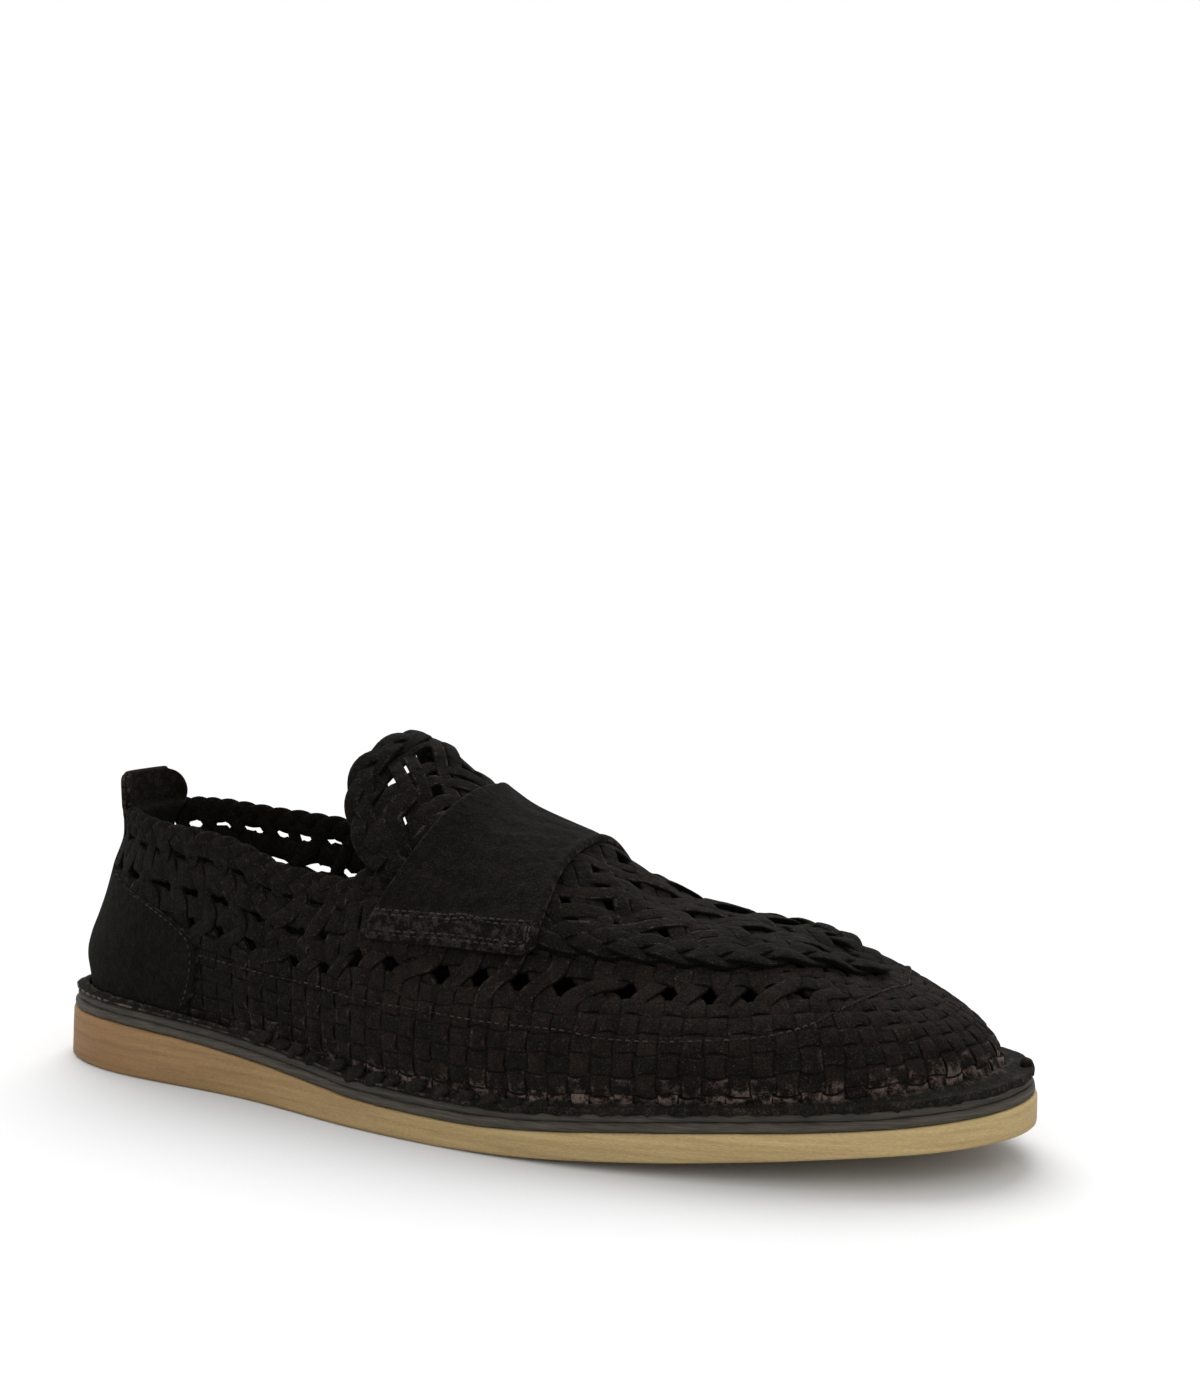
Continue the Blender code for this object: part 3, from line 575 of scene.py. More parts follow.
def on_last(run, along, lift):
    """Points a distance round the foot, a length up the wall and a lift off the last."""
    run, along = np.broadcast_arrays(np.asarray(run, float), np.asarray(along, float))
    at = np.mod(run / FOOT_RUN, 1.0) * RUNS
    i = np.floor(at).astype(int) % RUNS
    up = np.clip(along / round_foot(LENGTH, run), 0.0, 1.0) * STEPS
    j = np.minimum(np.floor(up).astype(int), STEPS - 1)
    spot, normal = off_grid((LAST, LAST_NORMAL), i, (i + 1) % RUNS, j, at - np.floor(at), up - j, lift)
    spot[..., 2] = np.maximum(spot[..., 2], sole_top(spot[..., 0]) + 0.05)
    return spot, normal


# Section of a strip: place across it and height over its middle, as shares of half its size.
STRIP_SIDE = np.array([-1.0, -0.96, -0.8, -0.4, 0.4, 0.8, 0.96, 1.0, 0.85, -0.85])
STRIP_RISE = np.array([0.0, 0.66, 0.93, 1.0, 1.0, 0.93, 0.66, 0.0, -0.9, -0.9])


def strip(path, normals, width, thick, closed=False, dome=0.12):
    """Points and faces of one strip with rounded edges and a domed face laid along a path."""
    run = unit(np.roll(path, -1, 0) - np.roll(path, 1, 0) if closed else np.gradient(path, axis=0))
    across = unit(np.cross(normals, run))
    up = np.cross(run, across)
    half = np.broadcast_to(width, len(path))[:, None] / 2
    tall = np.broadcast_to(thick, len(path))[:, None] / 2
    high = tall * STRIP_RISE + dome * (STRIP_RISE > 0) * (1 - STRIP_SIDE**2)
    ring = path[:, None] + across[:, None] * (half * STRIP_SIDE)[..., None] + up[:, None] * high[..., None]
    return ring.reshape(-1, 3), grid_faces(len(path), len(STRIP_SIDE), wrap_rows=closed, wrap_columns=True)


class Bundle:
    """Many strips gathered into one mesh, with a shade and an abrasion value for each; the abrasion value
    also carries painted highlights and painted shade.
    """

    def __init__(self):
        self.points, self.faces, self.shade, self.wear_and_light = [], [], [], []
        self.count = 0

    def add(self, points, faces, wear_and_light=None, shade=None):
        """One more strip, with a chance shade unless one is given."""
        self.points.append(points)
        self.faces.append(faces + self.count)
        self.shade.append(np.full(len(points), rng.random() if shade is None else shade))
        self.wear_and_light.append(np.zeros(len(points)) if wear_and_light is None else np.broadcast_to(wear_and_light, len(points)))
        self.count += len(points)

    def make(self, name, material, stands_for=None):
        """All the strips so far as one piece."""
        shade, wear_and_light = np.concatenate(self.shade), np.concatenate(self.wear_and_light)
        points, faces = np.vstack(self.points), np.vstack(self.faces)
        piece(name, points, faces, material, stands_for, shade, wear_and_light)


def combined(nodes, links, operation, first, second):
    """Two values put together by a sum, a product or the like."""
    made = add(nodes, "ShaderNodeMath", operation=operation)
    links.new(first, made.inputs[0])
    links.new(second, made.inputs[1])
    return made.outputs[0]


def suede(name, colour, worn_and_lit, nap=0.6):
    """Napped leather: each strip is a little greener or browner; abraded places and the painted highlights on
    strip edges are pale and smooth, and painted shade between strips is almost black.
    """
    material, nodes, links, shader = node_material(name, colour, 0.92)
    own = add(nodes, "ShaderNodeAttribute", attribute_name="shade")
    wear_and_light_share = add(nodes, "ShaderNodeAttribute", attribute_name="wear_and_light")
    cloud = stretched_noise(nodes, links, (1.0, 1.0, 1.0), 95.0, 5.0)
    fibre = stretched_noise(nodes, links, (1.0, 1.0, 1.0), 2200.0, 3.0)
    lumps = stretched_noise(nodes, links, (1.0, 1.0, 1.0), 420.0, 3.0)
    green = tuple(k * c for k, c in zip((0.77, 0.86, 0.84), colour))
    brown = tuple(k * c for k, c in zip((1.3, 1.15, 1.11), colour))
    tone = blend_colours(nodes, links, own.outputs["Fac"], green, brown)
    for share, source, stops in (
        (0.9, cloud, ((0.34, (0.37, 0.38, 0.38)), (0.66, (0.64, 0.61, 0.6)))),
        (nap, lumps, ((0.4, (0.34, 0.35, 0.35)), (0.6, (0.66, 0.64, 0.63)))),
        (nap, fibre, ((0.36, (0.2, 0.21, 0.2)), (0.64, (0.8, 0.77, 0.75)))),
    ):
        tone = overlaid(nodes, links, share, tone, source, stops)
    # places that are rubbed, and the painted highlights on strip edges, turn paler and smoother in patches
    limits = {"From Min": 0.4, "From Max": 0.62, "To Min": 0.1, "To Max": 1.9}
    patch = remap(nodes, links, lumps, **limits)
    spread = combined(nodes, links, "MULTIPLY", wear_and_light_share.outputs["Fac"], patch)
    rubbed_and_lit = combined(nodes, links, "ADD", spread, fibre)
    scuff_and_highlight = remap(nodes, links, rubbed_and_lit, **{"From Min": 0.64, "From Max": 1.5})
    fluff = remap(nodes, links, fibre, **{"From Min": 0.6, "From Max": 0.74, "To Max": 0.3})
    tone = blend_colours(nodes, links, combined(nodes, links, "MAXIMUM", scuff_and_highlight, fluff), tone, worn_and_lit)
    # painted shade: below zero the value darkens the colour almost to black on the strips' sides and
    # undersides, as the shadow between strips
    limits = {"From Min": -1.0, "From Max": 0.0, "To Min": 0.16}
    gap_shade = remap(nodes, links, wear_and_light_share.outputs["Fac"], **limits)
    tone = blend_colours(nodes, links, 1.0, tone, gap_shade, "MULTIPLY")
    links.new(tone, shader.inputs["Base Color"])
    links.new(remap(nodes, links, scuff_and_highlight, **{"To Min": 0.92, "To Max": 0.5}), shader.inputs["Roughness"])
    shader.inputs["Sheen Weight"].default_value = 0.012
    shader.inputs["Sheen Roughness"].default_value = 0.5
    shader.inputs["Specular IOR Level"].default_value = 0.03
    coarse = roughen(nodes, links, shader, cloud, 0.4, 0.002)
    uneven = roughen(nodes, links, shader, lumps, 0.75, 0.0014, coarse)
    roughen(nodes, links, shader, fibre, 0.7, 0.0006, uneven)
    return material


# Edges of the rows as shares of the wall's height; rows 6, 8 and 10 are open at the quarter.
QUARTER_ROWS = (0.0, 0.079, 0.158, 0.237, 0.316, 0.395, 0.475, 0.535, 0.648, 0.68, 0.822, 0.85, 1.0)
VAMP_ROWS = (0.0, 0.113, 0.227, 0.34, 0.453, 0.567, 0.68, 0.8, 0.92, 0.94, 0.96, 0.98, 1.0)
TOE_ROWS = (0.0, 0.11, 0.22, 0.33, 0.44, 0.55, 0.66, 0.67, 0.78, 0.785, 0.89, 0.895, 1.0)
VAMP_CHANGE, TOE_CHANGE = (95.0, 180.0), (238.0, 272.0)  # stations between which one becomes the next
WOVEN_ROWS = (0, 1, 2, 3, 4, 5, 7, 9, 11)
LONG_ROW, LONG_OPEN = 6, (60.0, 266.0)  # the long open row and the stations it runs between
COLLAR_ROWS, COLLAR_OPEN_TO = (8, 10), 112.0  # the collar's two and the station they end at
STRIP_THICK, WAVE, WALL_MIDDLE = 1.25, 0.6, 1.55  # thickness, swing over and under, height off the last
# A standing strip is laid from row 0 in steps and ends below the collar's edge, or lower if it
# stands within this many millimetres of the heel's middle.
ROW_STEP, STRIP_END, STRIP_END_AT_TAB, TAB_REACH = 0.23, 11.96, 11.3, 17.0
STANDING_FILL, PASSING_FILL, SPREAD = 0.95, 0.955, 0.17  # strip in its space, spread between crossings
# Length of an open row's opening in rows, how far apart crossing strips lie, and how much narrower
# they are there on the outer and on the inner side.
LONG_OPENING, COLLAR_OPENING, APART = 0.66, 0.78, 0.95
LONG_NARROWER, COLLAR_NARROWER = (0.2, -0.12), (0.14, 0.28)
# Standing strips round the shoe: twelve stretches of four twists, two or three strips to a twist.
STRETCHES, TWISTS, TOE_TWISTS = 12, (2, 2, 2, 3), (3, 2, 3, 2)
STRETCH = FOOT_RUN / STRETCHES
HOMES, PITCHES, TWIST_MIDDLES, TWIST_SIZES = [], [], [], []  # for each standing strip
for n in range(STRETCHES):
    twists = TOE_TWISTS if round_foot(FEET, np.array([(n + 0.5) * STRETCH]))[0, 0] > 250.0 else TWISTS
    pitch = STRETCH / sum(twists)
    before = 0
    for size in twists:
        for k in range(size):
            HOMES.append(n * STRETCH + (before + k + 0.5) * pitch)
            PITCHES.append(pitch)
            TWIST_MIDDLES.append(n * STRETCH + (before + size / 2) * pitch)
            TWIST_SIZES.append(size)
        before += size
STANDING = len(HOMES)


def row_height(run, row):
    """Length up the wall of a place counted in rows, 2.5 being the middle of the third."""
    station = round_foot(FEET, run)[..., 0]
    vamp, toe = eased(station, *VAMP_CHANGE), eased(station, *TOE_CHANGE)
    row = np.broadcast_to(row, np.shape(run))
    tables = (QUARTER_ROWS, VAMP_ROWS, TOE_ROWS)
    at = [np.interp(row, np.arange(len(rows)), rows) for rows in tables]
    return ((at[0] * (1 - vamp) + at[1] * vamp) * (1 - toe) + at[2] * toe) * round_foot(TOP, run)


def over_under(phase):
    """A wave from -1 to 1 with flat tops, as a strip bends over and under others."""
    return np.sin(math.pi / 2 * np.cos(math.pi * phase))


def hump(value, middle, width, power=2):
    """A rise to 1 at the middle that falls away on both sides."""
    return np.exp(-(((value - middle) / width) ** power))


def foot_wear(run, along):
    """Wear of the strips just above the wall's foot, in patches round the front of the shoe."""
    station = round_foot(FEET, run)[..., 0]
    front = eased(station, 95.0, 145.0)
    patches = 0.44 + 0.22 * np.sin(run / 9.1) * np.sin(run / 4.3 + 1.0) + 0.15 * np.sin(run / 2.1)
    band = 0.88 * eased(along, 8.2, 4.8)
    return band * (0.3 + 0.7 * front) * np.clip(patches, 0.1, 1.0)


def strip_wear_and_light(low, edges):
    """Values for a strip's points: rubbing along it, a painted highlight on its two edges, and below zero
    painted shade on its sides and underside.
    """
    # painted highlight: the rounded shoulders of both edges are made paler, as where light catches them
    over = np.array([0.0, 0.3, 1.0, 0.1, 0.1, 1.0, 0.3, 0.0, 0.0, 0.0])
    # painted shade: the strip's sides and underside go below zero, which its leather draws almost black, as
    # the shadow between strips
    dark = np.array([1.0, 0.7, 0.0, 0.0, 0.0, 0.0, 0.7, 1.0, 0.25, 0.25])
    worn_and_lit = np.clip(np.asarray(low)[:, None] + edges * over[None], 0.0, 1.0)
    return (worn_and_lit * (1.0 - dark) - dark).ravel()


def unsteady(count, amount, every=9):
    """Small hand-made unevenness along a strip."""
    knots = rng.normal(0.0, amount, count // every + 3)
    return np.interp(np.arange(count) / every, np.arange(len(knots)), knots)


WOVEN_MIDDLES = np.array(WOVEN_ROWS) + 0.5
weave = Bundle()
for k, (home, pitch, middle, size) in enumerate(zip(HOMES, PITCHES, TWIST_MIDDLES, TWIST_SIZES)):
    row = np.arange(0.0, STRIP_END, ROW_STEP)
    if min(home, FOOT_RUN - home) < TAB_REACH:  # cut shorter behind the pull tab
        row = row[row < STRIP_END_AT_TAB]
    order = np.interp(row, WOVEN_MIDDLES, np.arange(len(WOVEN_ROWS)))
    run = np.full(len(row), home)
    width = np.full(len(row), pitch * STANDING_FILL)
    station = round_foot(FEET, np.array([middle]))[0, 0]
    side = 0 if home < FOOT_RUN / 2 else 1
    crossed, opened, held = np.zeros(len(row)), np.zeros(len(row)), np.zeros(len(row))
    now = home - middle  # where the strip stands in its twist
    if LONG_OPEN[0] < station < LONG_OPEN[1]:
        # the strips of a twist change places behind one another
        share = eased(row, LONG_ROW - 0.45, LONG_ROW + 1.45)
        over = hump(row, LONG_ROW + 0.5, LONG_OPENING)
        run = run - 2 * now * share
        crossed = abs(2 * now / pitch) * share
        opened, held = over, over * APART * np.sign(-now) * (size - 1)
        width = width * (1 - LONG_NARROWER[side] * over)
        now = -now
    if station < COLLAR_OPEN_TO:
        # they draw together in the lower open row and lean apart to the next twist in the upper one
        for open_row, inward in zip(COLLAR_ROWS, (True, False)):
            way = np.sign(round(now, 3))
            target = 0.0 if inward else way * size * pitch / 2
            over = hump(row, open_row + 0.5, COLLAR_OPENING, 4)
            run = run + (target - now) * over * (abs(now) > 0.01)
            opened = np.maximum(opened, over)
            held = held + over * APART * way * (size - 1 if inward else 1)
            width = width * (1 - COLLAR_NARROWER[side] * over)
    wave = over_under(order + k + crossed)
    width = width * (1 + SPREAD * (1 - np.abs(wave)) * (1 - opened))
    lift = wave * (1 - opened) + held
    run = run + unsteady(len(row), 0.16, 7)
    along = row_height(run, row)
    along[0] += 0.15
    spot, normal = on_last(run, along, WALL_MIDDLE + WAVE * lift + rng.normal(0, 0.06))
    wide = width * (rng.uniform(0.96, 1.03) + unsteady(len(row), 0.03, 5))
    points, faces = strip(spot, normal, wide, STRIP_THICK, dome=0.15)
    # painted shade: standing strips are made darker and greener towards the heel's quarter, where the wall
    # lies in shadow, on top of each strip's own tint
    shade = rng.uniform(0.4, 1.0) * (0.25 + 0.75 * eased(station, 70.0, 150.0))
    low = foot_wear(run, along) * rng.uniform(0.6, 1.2)
    weave.add(points, faces, strip_wear_and_light(low, rng.uniform(0.0, 0.22)), shade)
phase = np.arange(0.0, STANDING, 0.25)
run = np.interp(phase, np.arange(STANDING + 1), np.r_[HOMES, HOMES[0] + FOOT_RUN])
turn = 2 * math.pi * phase / STANDING
ROW_WAVES = ((17, 1.0, 0.035), (31, 2.0, 0.035), (73, 1.7, 0.03))  # waves round, shift, height
for order, row in enumerate(WOVEN_ROWS[:-1]):
    wobble = sum(a * np.sin(n * turn + row * p) for n, p, a in ROW_WAVES)
    along = row_height(run, row + 0.5 + wobble)
    tall = (row_height(run, row + 1.0) - row_height(run, row)) * PASSING_FILL
    lift = -over_under(phase + order)
    tall = tall * (1 + SPREAD * (1 - np.abs(lift)))
    spot, normal = on_last(run, along, WALL_MIDDLE + WAVE * lift)
    points, faces = strip(spot, normal, tall, STRIP_THICK, closed=True)
    weave.add(points, faces, strip_wear_and_light(foot_wear(run, along), 0.1), rng.uniform(0.0, 0.5))
woven = suede("woven suede", (0.0073, 0.0062, 0.0053), (0.105, 0.076, 0.064))
weave.make("woven_upper", woven, "upper")

# ------------------------------------------------------------------ plug and tongue
# The apron over the vamp, one braided piece that runs back into a rounded tongue: a lattice of
# fat suede strips on the slant, finished all round with a thick three-strand plait.
SLICE_STEP, GIRTH_STEP = 1.5, 0.5
SLICE_STATIONS = np.arange(96.0, 266.0, SLICE_STEP)
GIRTHS = np.linspace(-76.0, 76.0, 305)


def girth_slices():
    """The last over the instep by station and by length down from the crown, outer side negative."""
    toe = int(np.argmax(FEET[:, 0]))
    outer_side, inner_side = np.arange(2, toe + 1), np.arange(RUNS - 2, toe - 1, -1)
    grid = np.zeros((len(SLICE_STATIONS), len(GIRTHS), 3))
    for n, station in enumerate(SLICE_STATIONS):
        crown_z = float(from_table(CROWN, station))
        halves = []
        for side in (outer_side, inner_side):
            line = []
            for j in range(STEPS):
                x = LAST[side, j, 0]
                if x.max() < station:
                    continue
                x = np.maximum.accumulate(x)
                line.append([np.interp(station, x, LAST[side, j, k]) for k in (1, 2)])
            halves.append(np.array(line)[::-1])
        if station <= TOE_FAN[1]:
            top = np.array([CROWN_SIDE, crown_z])
        else:
            top = np.array([np.interp(station, LAST[toe, ::-1, 0], LAST[toe, ::-1, k]) for k in (1, 2)])
        for half, sign in zip(halves, (-1.0, 1.0)):
            line = np.vstack([top, half])
            pick = GIRTHS * sign >= 0
            grid[n, pick, 0] = station
            grid[n, pick, 1:] = on_line(line, lengths_along(line), np.abs(GIRTHS[pick]))
    return grid


SLICES = girth_slices()
for soften in range(3):
    SLICES[1:-1] = (SLICES[:-2] + 2 * SLICES[1:-1] + SLICES[2:]) / 4
    SLICES[:, 1:-1] = (SLICES[:, :-2] + 2 * SLICES[:, 1:-1] + SLICES[:, 2:]) / 4
SLICE_NORMAL = unit(np.cross(np.gradient(SLICES, axis=0), np.gradient(SLICES, axis=1), axis=2))


def over_instep(station, girth, lift):
    """Points by station and by length down from the crown, a lift off the last."""
    station, girth = np.broadcast_arrays(np.asarray(station, float), np.asarray(girth, float))
    u = np.clip((station - SLICE_STATIONS[0]) / SLICE_STEP, 0, len(SLICE_STATIONS) - 1.001)
    v = np.clip((girth - GIRTHS[0]) / GIRTH_STEP, 0, len(GIRTHS) - 1.001)
    i, j = u.astype(int), v.astype(int)
    return off_grid((SLICES, SLICE_NORMAL), i, i + 1, j, u - i, v - j, lift)


def instep_place(point):
    """Station and girth of a point on the last."""
    row = (point[0] - SLICE_STATIONS[0]) / SLICE_STEP
    i = int(np.clip(row, 0, len(SLICE_STATIONS) - 2))
    line = SLICES[i] + (SLICES[i + 1] - SLICES[i]) * (row - i)
    return point[0], float(GIRTHS[np.argmin(np.linalg.norm(line[:, 1:] - point[1:], axis=1))])


# Rear edge of the plug, the rounded tongue: share of the girth, station.
PLUG_REAR = ((0.0, 109.5), (0.22, 106.5), (0.42, 103.5), (0.6, 105.5), (0.8, 110.5), (1.0, 119.0))
front_edge = []
for i in range(RUNS):
    if FEET[i, 0] > 124.0:
        down = LENGTH[i] - from_table(PLUG_GIRTH, FEET[i, 0])
        spot = on_last(i * FOOT_RUN / RUNS, down, 0.0)[0]
        front_edge.append(instep_place(spot.ravel()))
shares = np.linspace(-1.0, 1.0, 61)
rear_stations = from_table(PLUG_REAR, np.abs(shares))
rear_edge = np.column_stack([rear_stations, shares * 47.0])[::-1]
PLUG_EDGE = evenly(np.vstack([np.array(front_edge), rear_edge]), 600)
for soften in range(14):
    PLUG_EDGE = (np.roll(PLUG_EDGE, 1, 0) + 2 * PLUG_EDGE + np.roll(PLUG_EDGE, -1, 0)) / 4


def within(edge, spots):
    """How far each spot lies inside a closed edge, negative outside."""
    ahead = np.roll(edge, -1, 0) - edge
    gap = np.linalg.norm(spots[:, None] - edge[None], axis=2)
    near = gap.argmin(axis=1)
    away = spots - edge[near]
    tangent = ahead[near]
    sign = np.sign(tangent[:, 0] * away[:, 1] - tangent[:, 1] * away[:, 0])
    return sign * gap.min(axis=1)


braid = Bundle()
STRAND, PAIR, LATTICE_PITCH = 5.0, 2.4, 11.9  # a strip's width, half a pair's spacing, pair to pair
RIM_INSET, LATTICE_INSET = 4.512, 4.6
LATTICE_START = np.array([186.6, -4.7])
TONGUE = (140.0, 128.0)  # stations between which the lattice becomes the tongue's
BRAID_HIGH, BRAID_WAVE, BRAID_THICK = 3.4, 0.8, 1.35  # height off the last, swing over and under
BRAID_LEAST = 5  # shortest piece of strip worth laying, in points
lattice_edge = inset(PLUG_EDGE, LATTICE_INSET)
SLANTS = (math.radians(40.0), math.radians(-45.0))
LATTICE_WAYS = [np.array([math.cos(slant), math.sin(slant)]) for slant in SLANTS]
for family, ahead in enumerate(LATTICE_WAYS):
    across = np.array([-ahead[1], ahead[0]])
    for n in range(-22, 22):
        strand, half = n // 2, n % 2 - 0.5
        t = np.arange(-150.0, 150.0, 1.1)
        line = LATTICE_START + across * (strand + 0.5) * LATTICE_PITCH + ahead * t[:, None]
        # on the tongue the strips fan out and lie closer in their pairs, which leaves wider holes
        tongue = eased(line[:, 0], *TONGUE)
        if family == 0:
            back = (line - LATTICE_START) @ (0.7071, 0.7071) / LATTICE_PITCH + 4.1
            fan = np.where(back > 0, 0.4 * eased(back, 2.6, 0.0), 0.4 + 0.72 * np.maximum(back, -1.6))
            line = line + across * (fan * LATTICE_PITCH)[:, None]
        else:
            line = line - across * (0.12 * LATTICE_PITCH * tongue)[:, None]
        line = line + across * (2 * half * PAIR * (1 - 0.14 * tongue))[:, None]
        crossing = t / LATTICE_PITCH - 0.5 + strand * 0.09 * (1 if family else -1)
        line = line + across * unsteady(len(line), 0.2, 7)[:, None]
        depth = within(lattice_edge, line)
        inside = np.flatnonzero(depth > 0)
        if len(inside) < BRAID_LEAST:
            continue
        for part in np.split(inside, np.flatnonzero(np.diff(inside) > 1) + 1):
            if len(part) < BRAID_LEAST:
                continue
            wave = over_under(crossing[part] + strand + family)
            lift = BRAID_HIGH + BRAID_WAVE * wave + rng.normal(0, 0.12)
            spot, normal = over_instep(line[part, 0], line[part, 1], lift)
            edge = eased(np.abs(line[part, 1]), 20.5, 23.0) * (line[part, 0] < TONGUE[0])
            close = (1.0 - 0.15 * tongue[part]) * (1 - edge) + 1.42 * edge
            wide = STRAND * (close * rng.uniform(0.97, 1.03) + unsteady(len(part), 0.035, 5))
            points, faces = strip(spot, normal, wide, BRAID_THICK, dome=0.16)
            braid.add(points, faces, strip_wear_and_light(np.zeros(len(part)), rng.uniform(0.06, 0.26)))


def plait(centre, place, bundle, width, reach, wave, length, lift, thick):
    """A flat three-strand plait along a centre line; place sets its points on the shoe."""
    lengths = lengths_along(centre)
    total = lengths[-1]
    at = np.arange(0.0, total, length / 26.0)
    middle = on_line(centre, lengths, at)
    ahead = unit(np.gradient(middle, axis=0))
    sideways = np.stack([-ahead[:, 1], ahead[:, 0]], axis=1)
    phase = 2 * math.pi * round(total / length) * at / total
    for strand in range(3):
        angle = phase + strand * 2 * math.pi / 3
        swing = np.sin(angle)
        line = middle + sideways * (reach * swing)[:, None]
        spot, normal = place(line[:, 0], line[:, 1], lift + wave * np.sin(2 * angle))
        wide = width * (1 - 0.12 * np.abs(swing) + unsteady(len(at), 0.03))
        points, faces = strip(spot, normal, wide, thick, dome=0.25)
        bundle.add(points, faces, strip_wear_and_light(np.zeros(len(at)), 0.15))


closed_edge = inset(PLUG_EDGE, RIM_INSET)
plait(np.vstack([closed_edge, closed_edge[:1]]), over_instep, braid, 5.9, 2.35, 0.9, 32.0, 4.0, 1.5)
# the braided suede's colour is kept darker than the woven upper's, partly its own tone and partly painted
# shade for the plait lying in shadow
braided = suede("braided_suede", (0.0048, 0.0042, 0.0035), (0.08, 0.063, 0.051))
braid.make("braided_plug", braided, "plug")

# ------------------------------------------------------------------ collar braid
# The collar's edge is a round-looking plait of three suede strands worked along the wall's top,
# which gives the opening its row of rope-like bumps; it dives under the plug at both sides.
collar_braid = Bundle()
BRAID_END, BRAID_ROW = 121.0, 11.46  # station of both ends, height counted in the weave's rows
outer_end = next(i for i in range(RUNS) if FEET[i, 0] > BRAID_END) * FOOT_RUN / RUNS
inner_end = -next(i for i in range(RUNS) if FEET[RUNS - 1 - i, 0] > BRAID_END) * FOOT_RUN / RUNS
run = np.linspace(inner_end, outer_end, 300)
collar_line = np.column_stack([run, row_height(run, BRAID_ROW)])
plait(collar_line, on_last, collar_braid, 4.8, 2.2, 0.6, 20.0, 1.55, 1.5)
edge = suede("collar suede", (0.0054, 0.0048, 0.0040), (0.07, 0.058, 0.048))
collar_braid.make("collar_braid", edge)

# ------------------------------------------------------------------ strap
# A saddle strap of smooth brushed suede over the instep, its lower ends hemmed and sewn with two
# double rows of pale thread, its front edge turned under so that it stands a little thicker.
STRAP_FOOT = ((118.0, 51.0), (180.0, 48.2))  # height of the lower edge: station, height
# Side edges: share of the way down from the crown, station of the rear edge, of the front edge.
STRAP_EDGES = (
    (0.0, 137.5, 171.4),
    (0.35, 134.2, 172.0),
    (0.7, 129.4, 174.0),
    (1.0, 121.6, 175.5),
)
STRAP_HIGH, STRAP_LOW = 5.15, 2.8  # height off the last over the plug and down on the weave
STRAP_CORNER, HEM = 4.5, 9.0  # radius of the lower front corner, width of the hem
STRAP_THICK, STRAP_ROUND = 1.45, 1.1  # thickness of the suede, radius of its edges
# Relief of the face: height, distance from the edge it follows, width.
RIM, GROOVE = (0.5, 1.4, 1.1), (0.25, 3.6, 0.8)
HEM_STEP, CREASE, DENT, DENT_WIDTH = 0.45, 0.12, 0.16, 1.2
# The hem is sewn lower than its full width, most in the rear half: station, how much lower.
HEM_TRIM = ((126.0, 2.3), (136.0, 2.4), (147.0, 2.6), (154.0, 1.7), (162.0, 1.0), (174.0, 0.5))


def drops_down(side):
    """Length from the crown down to the strap's lower edge, for each slice on one side."""
    pick = np.flatnonzero(GIRTHS * side >= 0)[:: 1 if side > 0 else -1]
    girths, lows = np.abs(GIRTHS[pick]), from_table(STRAP_FOOT, SLICE_STATIONS)
    return np.array([np.interp(-low, -SLICES[n, pick, 2], girths) for n, low in enumerate(lows)])


STRAP_DROPS = {side: drops_down(side) for side in (-1, 1)}


def strap_drop(share, station):
    """Length from the crown down to the strap's lower edge, share being negative on the outer side."""
    outer, inner = (np.interp(station, SLICE_STATIONS, STRAP_DROPS[side]) for side in (-1, 1))
    return np.where(share < 0, outer, inner)


def strap_edges(share):
    """Stations of the strap's rear and front edges."""
    return from_table(STRAP_EDGES, np.abs(share)), from_table(STRAP_EDGES, np.abs(share), 2)


def strap_gaps(share, t):
    """Length from each place on the strap to its lower edge and to its nearest side edge."""
    rear, front = strap_edges(share)
    drop = strap_drop(share, rear + (front - rear) * t)
    return (1 - np.abs(share)) * drop, np.minimum(t, 1 - t) * (front - rear)


def sewn_line(station):
    """Length from the strap's lower edge up to where the hem is sewn."""
    return HEM - from_table(HEM_TRIM, station)


def strap_spot(share, t, extra):
    """A place on the strap: share down a side, part of the way forward, extra lift."""
    share, t = np.broadcast_arrays(np.asarray(share, float), np.asarray(t, float))
    rear, front = strap_edges(share)
    left = (1.0 - np.abs(share)) * strap_drop(share, (rear + front) / 2)
    corner = np.clip((STRAP_CORNER - left) / STRAP_CORNER, 0.0, 1.0)
    trim = STRAP_CORNER * (1.0 - np.sqrt(1.0 - corner**2))
    station = rear + (front - rear - trim) * t
    down = np.abs(share) * strap_drop(share, station)
    past = down - from_table(PLUG_GIRTH, station)  # how far beyond the plug's edge
    lift = STRAP_HIGH + (STRAP_LOW - STRAP_HIGH) * eased(past, 1.0, 13.0)
    lift = lift + 0.75 * hump(past, -4.0, 4.5)
    return over_instep(station, np.sign(share) * down, lift + extra)


def leather_sheet(spot, rows, columns, thick, round_edge, edge_gaps):
    """A sheet of leather with softened edges: outer face, edge and inner face in one closed mesh."""
    a, b = np.meshgrid(rows, columns, indexing="ij")
    gap = edge_gaps(a, b)
    fall = 1.0 - np.clip(gap / round_edge, 0.0, 1.0)
    face = thick * (0.35 + 0.65 * np.sqrt(1.0 - fall**2))
    outer, inner = spot(a, b, face)[0], spot(a, b, np.zeros_like(face))[0]
    number = np.arange(a.size).reshape(a.shape)
    border = np.r_[number[:, 0], number[-1, 1:], number[-2::-1, -1], number[0, -2:0:-1]]
    ahead = np.roll(border, -1)
    top = grid_faces(*a.shape)
    wall = np.stack([border, ahead, ahead + a.size, border + a.size], axis=1)
    points = np.vstack([outer.reshape(-1, 3), inner.reshape(-1, 3)])
    return points, np.vstack([top, top[:, ::-1] + a.size, wall[:, ::-1]]), gap


def ends_dense(start, stop, count, end_step):
    """Values from start to stop with a few close together at both ends."""
    close = end_step * np.array([0.0, 0.25, 0.6, 1.1, 1.9, 3.0])
    inner = np.linspace(start + end_step * 4.5, stop - end_step * 4.5, count)
    return np.r_[start + close, inner, stop - close[::-1]]


